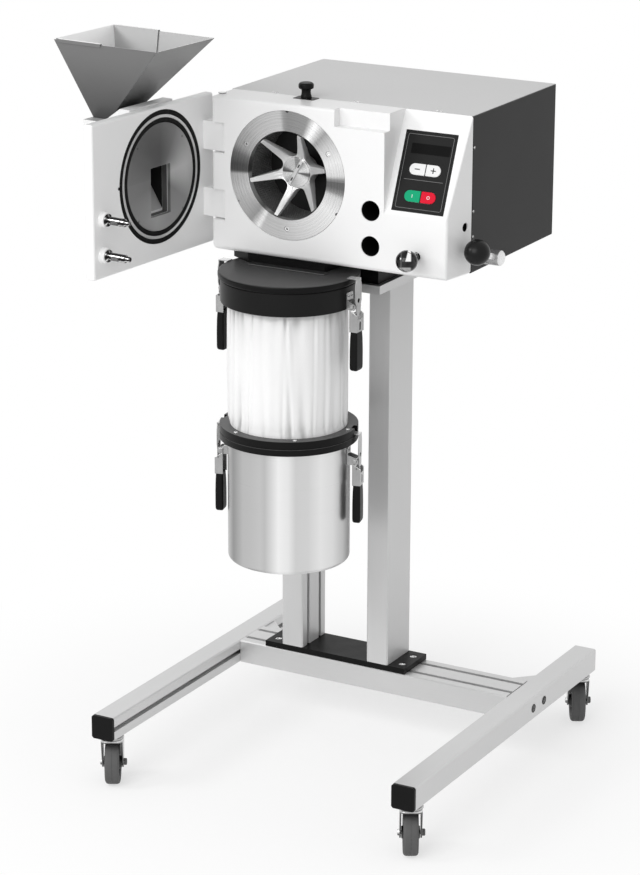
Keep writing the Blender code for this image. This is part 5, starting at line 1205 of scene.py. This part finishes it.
def copyOf(node, name, place, width, segments, angle=25):
    # a node's own shape in a place's axes, with soft edges
    bm = bmesh.new()
    bm.from_mesh(nodes[node].data)
    bm.transform(place.inverted() @ nodes[node].matrix_world)
    item = newObject(name, bm, place)
    roundEdges(item, width, segments, angle)
    return item


def buildHopper():
    low, high = boxIn("hopper", doorPlace)
    looks["hopper"] = hopperLook(low.z + 0.02, high.z)
    for node, name in (("hopper", "hopperBody"), ("hopper_insert", "hopperLiner")):
        dress(copyOf(node, name, doorPlace, 0.0004, 2, 20), "hopper", "door", node, 20)


def buildChute():
    # its passage is bare, with its walls darkened as painted shade and its slanting floor brighter as painted light
    item = dress(copyOf("feed_chute", "feedChute", discFace, 0.0012, 3), "chute", "door", "feed_chute")
    for look in ("passage", "passageFloorPaintedLight"):
        item.data.materials.append(looks[look])
    profile = [Vector((v.co.z, v.co.y)) for v in item.data.vertices]
    hull = [profile[i] for i in convex_hull_2d(profile)]
    for face in item.data.polygons:
        ahead = face.center + 0.002 * face.normal
        inside = all((b - a).cross(Vector((ahead.z, ahead.y)) - a) > 0.0 for a, b in zip(hull, hull[1:] + hull[:1]))
        # walls get the painted shade finish, the slanting floor the painted light one
        if inside and abs(ahead.x) < 0.054:
            face.material_index = 2 if face.normal.y > 0.25 else 1


buildDoor()
buildHopper()
buildChute()
print("door built")


# lid, collar, duct foot, flange, vessel

lidBox = corners("lid_plate")
stackAt = centre(lidBox)
stack = {"lidRound": 0.0032, "collar": (0.109, 0.0945), "collarRound": 0.0016, "screws": 6, "screwCircle": 0.1028,
         "foot": 0.0018, "footLow": (-0.0929, -0.0892), "footRight": 0.0456, "flange": (0.1113, 0.0932), "rise": 0.0128,
         "groove": (0.0025, 0.0015), "vessel": 0.0985, "wall": 0.002, "corner": 0.007, "bead": 0.0004}
latch = {"earHalf": 0.008, "earThick": 0.0015, "sheet": 0.0015, "plateUp": 0.022, "earUp": 0.006, "earOut": 0.005,
         "cheek": 0.0016, "cheekBack": 0.0042, "cheekFront": 0.0095, "cheekTop": 0.0042, "cheekLong": 0.040,
         "webStart": 0.021, "gripLong": 0.065, "gripWide": 0.0117, "gripDeep": 0.0068, "pin": 0.002, "hookPin": 0.0016,
         "hookHalf": 0.0072, "hookWide": 0.0096}


def stackPlace(z):
    return shift(stackAt.x, stackAt.y, z)


def latchFrames():
    # each latch's lever axis, X pointing out of the stack
    for name in ("lid_left", "lid_right", "vessel_left", "vessel_right"):
        at = Vector(jointOf("latch_" + name + "_lever")["pos_m"])
        yield name, placeOf(at, (*(at - stackAt).xy, 0.0))


def addEarPlate(name, place, wall, low):
    # the riveted plate with its two ears, joined to the collar or the vessel
    half, up, thick = latch["earHalf"] + latch["earThick"], latch["plateUp"], latch["earThick"]
    back = wall - (place.translation - stackAt).xy.length
    front = back + latch["sheet"]
    plate = pushed(roundedOutline(-half, half, low, up, 0.003), back - 0.0002, front, "X")
    item = newObject("latchPlate_" + name, plate, place)
    edge = [(back, low), (latch["earOut"] - 0.002, low)] + arcOf(0.0055, -50, 60, 8) + [(back, latch["earUp"] + 0.004)]
    for start in (-half, half - thick):
        join(item, pushed(edge, start, start + thick, "Y"))
    roundEdges(item, 0.0003, 2, 50)
    dress(item, "zinc")
    rivets = [(panScrew(0.0022, 0.0012), shift(front, y, 0.5 * up + 0.006) @ turn(90, "Y")) for y in (-0.0045, 0.0045)]
    addPiece("latchRivets_" + name, bulk(*rivets), place, "zinc")


def buildStack():
    lidHigh = lidBox[1]
    lidPlace, r, tall = stackPlace(lidHigh.z), halfWidth("lid_plate"), lidHigh.z - lidBox[0].z
    outline = softened([(0.0, -tall), (r, -tall), (r, 0.0), (0.0, 0.0)], stack["lidRound"], 5)
    lid = newObject("lidPlate", spun(outline, 144), lidPlace)
    ductLow, ductHigh = boxIn("outlet_duct", lidPlace)
    x = ringAxis.x - stackAt.x
    carve(lid, slab((x - duct["half"], ductLow.y + duct["wall"], -0.05),
                    (x + duct["half"], ductHigh.y - duct["wall"], 0.05)))
    dress(lid, "lid", node="lid_plate")
    collarLow, collarHigh = corners("lid_collar")
    tall, (r, inner) = collarHigh.z - collarLow.z, stack["collar"]
    outline = softened([(inner, -tall), (r, -tall), (r, -0.0022), (r - 0.0012, -0.0016), (r - 0.0012, 0.0),
                        (inner, 0.0)], stack["collarRound"], 4)
    addPiece("lidCollar", spun(outline, 144), stackPlace(collarHigh.z), "collar", node="lid_collar")
    z = lidHigh.z + 0.0003
    foot = slab((*stack["footLow"], z), (stack["footRight"], corners("outlet_duct")[0].y + 0.002, z + stack["foot"]))
    addPiece("ductFoot", foot, still, "foot", edges=0.0006)
    low, high = corners("flange_ring")
    place, tall, rise = stackPlace(low.z), high.z - low.z, stack["rise"]
    (r, inner), (slotTall, slotDeep) = stack["flange"], stack["groove"]
    outline = softened([(inner, 0.0), (r, 0.0), (r, rise - slotTall), (r - slotDeep, rise - slotTall),
                        (r - slotDeep, rise), (r, rise), (r, tall), (inner, tall)], 0.0008)
    flange = newObject("flangeRing", spun(outline, 144), place)
    for name, latchPlace in latchFrames():
        if name.startswith("vessel"):
            out = latchPlace.col[0]
            notch = slab((r - 0.0064, -0.0083, rise - 0.0003), (r + 0.01, 0.0083, tall + 0.01))
            carve(flange, notch, turn(degrees(atan2(out.y, out.x))))
    dress(flange, "flange", node="flange_ring")
    heads = [(panScrew(0.0034, 0.0018), shift(*polar(stack["screwCircle"], 5 + 360 * k / stack["screws"]), tall))
             for k in range(stack["screws"])]
    addPiece("flangeScrews", bulk(*heads), place, "zinc")
    low, high = corners("vessel")
    tall, r, wall, corner = high.z - low.z, stack["vessel"], stack["wall"], stack["corner"]
    wide = r + stack["bead"]
    outline = [(0.0, 0.0)] + arcOf(corner, -90, 0, 8, r - corner, corner)
    outline += [(r, tall - 0.012), (wide, tall - 0.011), (wide, tall - 0.009), (r, tall - 0.008), (r, tall),
                (r - wall, tall)] + arcOf(corner - wall, 0, -90, 8, r - corner, corner) + [(0.0, wall)]
    addPiece("vessel", spun(outline, 160), stackPlace(low.z), "vessel", node="vessel")
    for name, place in latchFrames():
        onLid = name.startswith("lid")
        base = (collarLow if onLid else low).z - place.translation.z
        addEarPlate(name, place, stack["collar"][0] if onLid else r, max(-latch["earUp"], base))


buildStack()
print("stack built")


# filter bag: one sheet of cloth with long folds, gathered at both hems

bag = {"columns": 480, "rows": 110, "folds": 41, "deep": 0.0030, "flat": (0.62, 0.27), "bulge": 0.0052, "bulgeAt": 207,
       "bulgeWide": 24, "collarLow": 0.132, "rim": 0.909, "strong": (230.5, -5, 2.2, 1.5, 0.8, 0.3),
       "profile": ((0.0, 0.0925), (0.12, 0.0922), (0.15, 0.0921), (0.25, 0.0931), (0.5, 0.0940), (0.75, 0.0934),
                   (0.87, 0.0930), (0.9, 0.0941), (0.912, 0.0941), (0.925, 0.0922), (1.0, 0.0918))}


def bagFolds():
    # where each fold starts, how far it wanders, how wide and deep it is, and how strong at the top and the foot
    return [(360 * k / bag["folds"] + 5.5 * sin(7.3 * k), 8 * sin(3.7 * k + 1), 0.9 + 2.2 * sin(2.3 * k) ** 2,
             0.3 + 0.7 * abs(sin(5.1 * k)), abs(sin(1.9 * k + 0.4)), abs(cos(2.7 * k)))
            for k in range(bag["folds"])] + [bag["strong"]]


def alongProfile(share):
    for (a, low), (b, high) in zip(bag["profile"], bag["profile"][1:]):
        if share <= b:
            return low + (high - low) * (share - a) / (b - a)


def bell(off, wide):
    return exp(-(off / wide) ** 2)


def bagSpot(share, angle, folds):
    # radius, and how much painted shade a crease gets, at a share of the height from the top hem
    top, rim = share - bag["collarLow"], bag["rim"] - share
    free = min(1.0, max(0.0, top / 0.03)) * min(1.0, max(0.0, rim / 0.05))
    bulge = (angle - bag["bulgeAt"] + 180) % 360 - 180
    radius = alongProfile(share) + free * bag["bulge"] * bell(bulge, bag["bulgeWide"])
    # painted shade along the bulge's crease
    crease = 0.22 * bell(bulge, 14)
    for at, wander, wide, deep, high, low in folds:
        off = (angle - at - wander * (share - 0.5) + 180) % 360 - 180
        if abs(off) > 6 * wide:
            continue
        pull = deep * (0.25 + 0.9 * high * max(0.0, 1.0 - share / 0.55) + 0.9 * low * max(0.0, (share - 0.45) / 0.5))
        narrow = wide * (1.0 + 0.8 * sin(pi * share))
        valley = bell(off, narrow)
        radius += free * bag["deep"] * pull * (0.55 * bell(off - 1.9 * narrow, narrow) - valley)
        # painted shade in the fold's valley, stronger near both hems
        crease += pull * valley * (0.35 + 0.8 * (bell(top, 0.09) + 0.6 * bell(rim, 0.07)))
    return radius, min(1.0, crease)


def buildBag():
    low, high = corners("filter_bag")
    columns, rows, folds = bag["columns"], bag["rows"], bagFolds()
    bm = bmesh.new()
    paintedCreaseShades = bm.verts.layers.float.new("crease")
    loops = []
    for share in [j / rows for j in range(rows + 1)]:
        loops.append([])
        for angle in [360 * k / columns for k in range(columns)]:
            radius, crease = bagSpot(share, angle, folds)
            vert = bm.verts.new((*polar(radius, angle), -share * (high.z - low.z)))
            vert[paintedCreaseShades] = crease
            loops[-1].append(vert)
    for a, b in zip(loops, loops[1:]):
        for k in range(columns):
            n = (k + 1) % columns
            bm.faces.new((a[k], b[k], b[n], a[n]))
    hemLow = corners("lid_collar")[0].z - high.z
    looks["cloth"] = clothLook(hemLow - 0.013, hemLow - 0.006)
    item = addPiece("filterBag", bm, stackPlace(high.z), "cloth", node="filter_bag", smooth=80)


buildBag()
print("filter bag built")


# toggle latches

def buildLatch(name, place):
    # one folded channel: two cheeks and a web with a slot, narrowing to the grip
    inner, body = latch["earHalf"] + latch["earThick"] + 0.0006, "latch_" + name
    outer, web = inner + latch["cheek"], latch["cheekFront"] - latch["cheek"]
    back, front, top, long = -latch["cheekBack"], latch["cheekFront"], latch["cheekTop"], latch["cheekLong"]
    channel = newObject("latchLever_" + name, slab((back, -outer, -long), (front, outer, top)), place)
    carve(channel, slab((back - 0.01, -inner, -long - 0.01), (web, inner, top + 0.01)))
    carve(channel, slab((front - 0.01, 0.0035 - outer, 0.002 - latch["webStart"]),
                        (front + 0.01, outer - 0.0035, top + 0.01)))
    carve(channel, pushed(roundedOutline(-0.0022, 0.0022, -0.0375, -0.0245, 0.0018), front - 0.01, front + 0.01, "X"))
    nose = slab((front - 0.006, -0.03, -0.004), (front + 0.02, 0.03, 0.03))
    carve(channel, nose, shift(z=top) @ turn(35, "Y") @ shift(z=-top))
    roundEdges(channel, 0.0005, 3, 50)
    dress(channel, "zinc", body, "latch_lever_" + name)
    # a dark sheet behind the web's slot: painted shade
    slotShade = slab((web - 0.0008, -0.004, -0.0385), (web - 0.0002, 0.004, -0.0235))
    addPiece("latchHollow_" + name, slotShade, place, "deep", body)
    pin, head = latch["pin"], outer + 0.0007
    axle = [(0.0, -head), (0.0026, -head), (0.0026, -outer), (pin, -outer), (pin, outer), (0.0026, outer),
            (0.0026, head), (0.0, head)]
    pins = [(spun(softened(axle, 0.0003), 24), turn(90, "X")),
            (rod(latch["hookPin"], -outer, outer, 20), shift(0.0032, 0, -0.011) @ turn(90, "X")),
            (spun([(0.0, 0.0), (0.002, 0.0), (0.0014, 0.0006), (0.0, 0.0008)], 20),
             shift(front, 0, -0.0225) @ turn(90, "Y"))]
    addPiece("latchPins_" + name, bulk(*pins), place, "zinc", body)
    # the grip: a rounded bar that is narrower at its neck
    bm = bmesh.new()
    loops = []
    for share, size in ((0.0, 0.80), (0.02, 0.86), (0.06, 0.88), (0.2, 0.95), (0.5, 1.0), (0.86, 1.0), (0.93, 0.98),
                        (0.97, 0.9), (0.992, 0.74), (1.0, 0.5)):
        x, y, z = size * latch["gripDeep"], size * latch["gripWide"], 0.0015 - long - share * latch["gripLong"]
        loops.append([bm.verts.new((0.5 * (front + back) + u, v, z)) for u, v in roundedOutline(-x, x, -y, y, 0.5 * x)])
    capped(bm, loops)
    addPiece("latchGrip_" + name, bm, place, "plastic", body, smooth=50)


def buildHook(name, place):
    # a bent strap with an eye for the lever's pin; its lip lies on the rim
    place = place.copy()
    place.translation = jointOf("latch_" + name + "_hook")["pos_m"]
    low, high = boxIn("latch_hook_" + name, place)
    sheet, half, wide, tall = latch["sheet"], latch["hookHalf"], latch["hookWide"], high.z
    flat = high.x - sheet
    outline = [(half * 0.72, -0.004), (half * 0.95, 0.002), (half, 0.014), (wide, 0.021), (wide, tall - 0.012),
               (wide * 0.8, tall - 0.005), (wide * 0.8, tall)]
    outline = [(-y, z) for y, z in outline] + outline[::-1]
    hook = newObject("latchHook_" + name, pushed(outline, 0.0, sheet, "X"), place @ shift(flat))
    join(hook, pushed(arcOf(0.0032, 0, 345, 23), -0.8 * half, 0.8 * half, "Y"), shift(-flat))
    join(hook, slab((low.x - flat, -wide * 0.8, tall - sheet), (sheet, wide * 0.8, tall)))
    carve(hook, rod(0.0019, -0.02, 0.02, 20), shift(-flat) @ turn(90, "X"))
    carve(hook, pushed(arcOf(0.0036, 0, 348, 29), -0.01, 0.01, "X"), shift(z=0.021))
    roundEdges(hook, 0.0004, 3, 50)
    dress(hook, "zinc", "hook_" + name, "latch_hook_" + name)
    # a dark disc in the eye: painted shade
    eyeShade = [(0.0, -0.0002), (0.0034, -0.0002), (0.0034, 0.0008), (0.0, 0.0008)]
    addPiece("hookEye_" + name, spun(eyeShade, 28), place @ shift(flat, z=0.021) @ turn(90, "Y"), "deep", "hook_" + name)


for name, place in latchFrames():
    buildLatch(name, place)
    buildHook(name, place)
print("latches built")


# floor, lamps, world and camera

studio = {"floor": 30.0, "near": 0.54, "fade": (0.25, 0.9), "world": 0.6, "aim": (0.0, 0.0, 0.8)}
lamps = {"keyLamp": ((0.0, -3.4, 2.6), 56.0, 2.4), "sideLamp": ((-2.2, -2.2, 2.4), 22.0, 0.9)}
shot = {"azimuth": 29.23, "elevation": 17.61, "roll": 0.20, "lens": 126.55, "stand": (2.34068, -4.27443, 2.06101),
        "legBottom": 0.0911}
white = grey((1, 1, 1))


def shownWhite(start, lit, glow, share, output):
    # white where rays come from the camera or a reflection, the lit shader for the light that it gives
    rays = [start.node("ShaderNodeLightPath", out=f"Is {kind} Ray") for kind in ("Camera", "Glossy", "Transmission")]
    seen = start.math("MAXIMUM", rays[0], start.math("MAXIMUM", rays[1], rays[2]))
    mixed = start.node("ShaderNodeMixShader", values={0: share * seen if share else seen, 1: lit, 2: glow})
    start.node(output, values={"Surface": mixed})


def buildFloor():
    bm = bmesh.new()
    bmesh.ops.create_grid(bm, x_segments=8, y_segments=8, size=0.5 * studio["floor"])
    floor = newObject("studioFloor", bm)
    look, spot = newLook("paleFloor")
    length = spot.node("ShaderNodeVectorMath", {"operation": "LENGTH"}, {0: spot.scaled(1.0, 1.0, 0.0)}, out="Value")
    plain = spot.node("ShaderNodeBsdfDiffuse", values={"Color": grey((0.96, 0.96, 0.96)), "Roughness": 0.5})
    glow = spot.node("ShaderNodeEmission", values={"Color": white, "Strength": 1.0})
    share = length.between(*studio["fade"]) * (1.0 - studio["near"]) + studio["near"]
    shownWhite(spot, plain, glow, share, "ShaderNodeOutputMaterial")
    floor.data.materials.append(look)
    floor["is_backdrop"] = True


def buildStudio():
    world = bpy.data.worlds.new("studioWorld")
    bpy.context.scene.world = world
    world.use_nodes = True
    world.node_tree.nodes.clear()
    start = Wire(world.node_tree)
    light, seen = [start.node("ShaderNodeBackground", values={"Color": white, "Strength": strength})
                   for strength in (studio["world"], 1.0)]
    shownWhite(start, light, seen, None, "ShaderNodeOutputWorld")
    for name, (at, power, size) in lamps.items():
        lamp = bpy.data.lights.new(name, "AREA")
        lamp.shape, lamp.size, lamp.size_y, lamp.energy = "RECTANGLE", size, size, power
        item = bpy.data.objects.new(name, lamp)
        bpy.context.scene.collection.objects.link(item)
        way = Vector(at) - Vector(studio["aim"])
        item.matrix_world = shift(*at) @ way.to_track_quat("Z", "Y").to_matrix().to_4x4()


def buildCamera():
    camera = bpy.data.cameras.new("viewCamera")
    camera.lens, camera.sensor_width, camera.sensor_fit, camera.clip_end = shot["lens"], 36.0, "AUTO", 60.0
    item = bpy.data.objects.new("viewCamera", camera)
    bpy.context.scene.collection.objects.link(item)
    az, el, roll = [radians(shot[k]) for k in ("azimuth", "elevation", "roll")]
    forward = Vector((-sin(az) * cos(el), cos(az) * cos(el), -sin(el)))
    right = Vector((cos(az), sin(az), 0.0))
    # the shot was measured from the columns' middle, with the legs' underside at legBottom
    left, far = corners("column_left"), corners("column_right")
    home = Vector((0.5 * (left[0].x + far[1].x), centre(left).y, corners("leg_left")[0].z - shot["legBottom"]))
    item.matrix_world = placeOf(home + Vector(shot["stand"]), cos(roll) * right + sin(roll) * right.cross(forward),
                                -forward)
    bpy.context.scene.camera = item


buildFloor()
buildStudio()
buildCamera()
bpy.context.scene.view_settings.view_transform = "Standard"
print("studio set")

sizes = {"cad": [list(v) for v in cadBox], "visual": [list(v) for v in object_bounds()]}
print("cad box", sizes["cad"], "visual box", sizes["visual"])
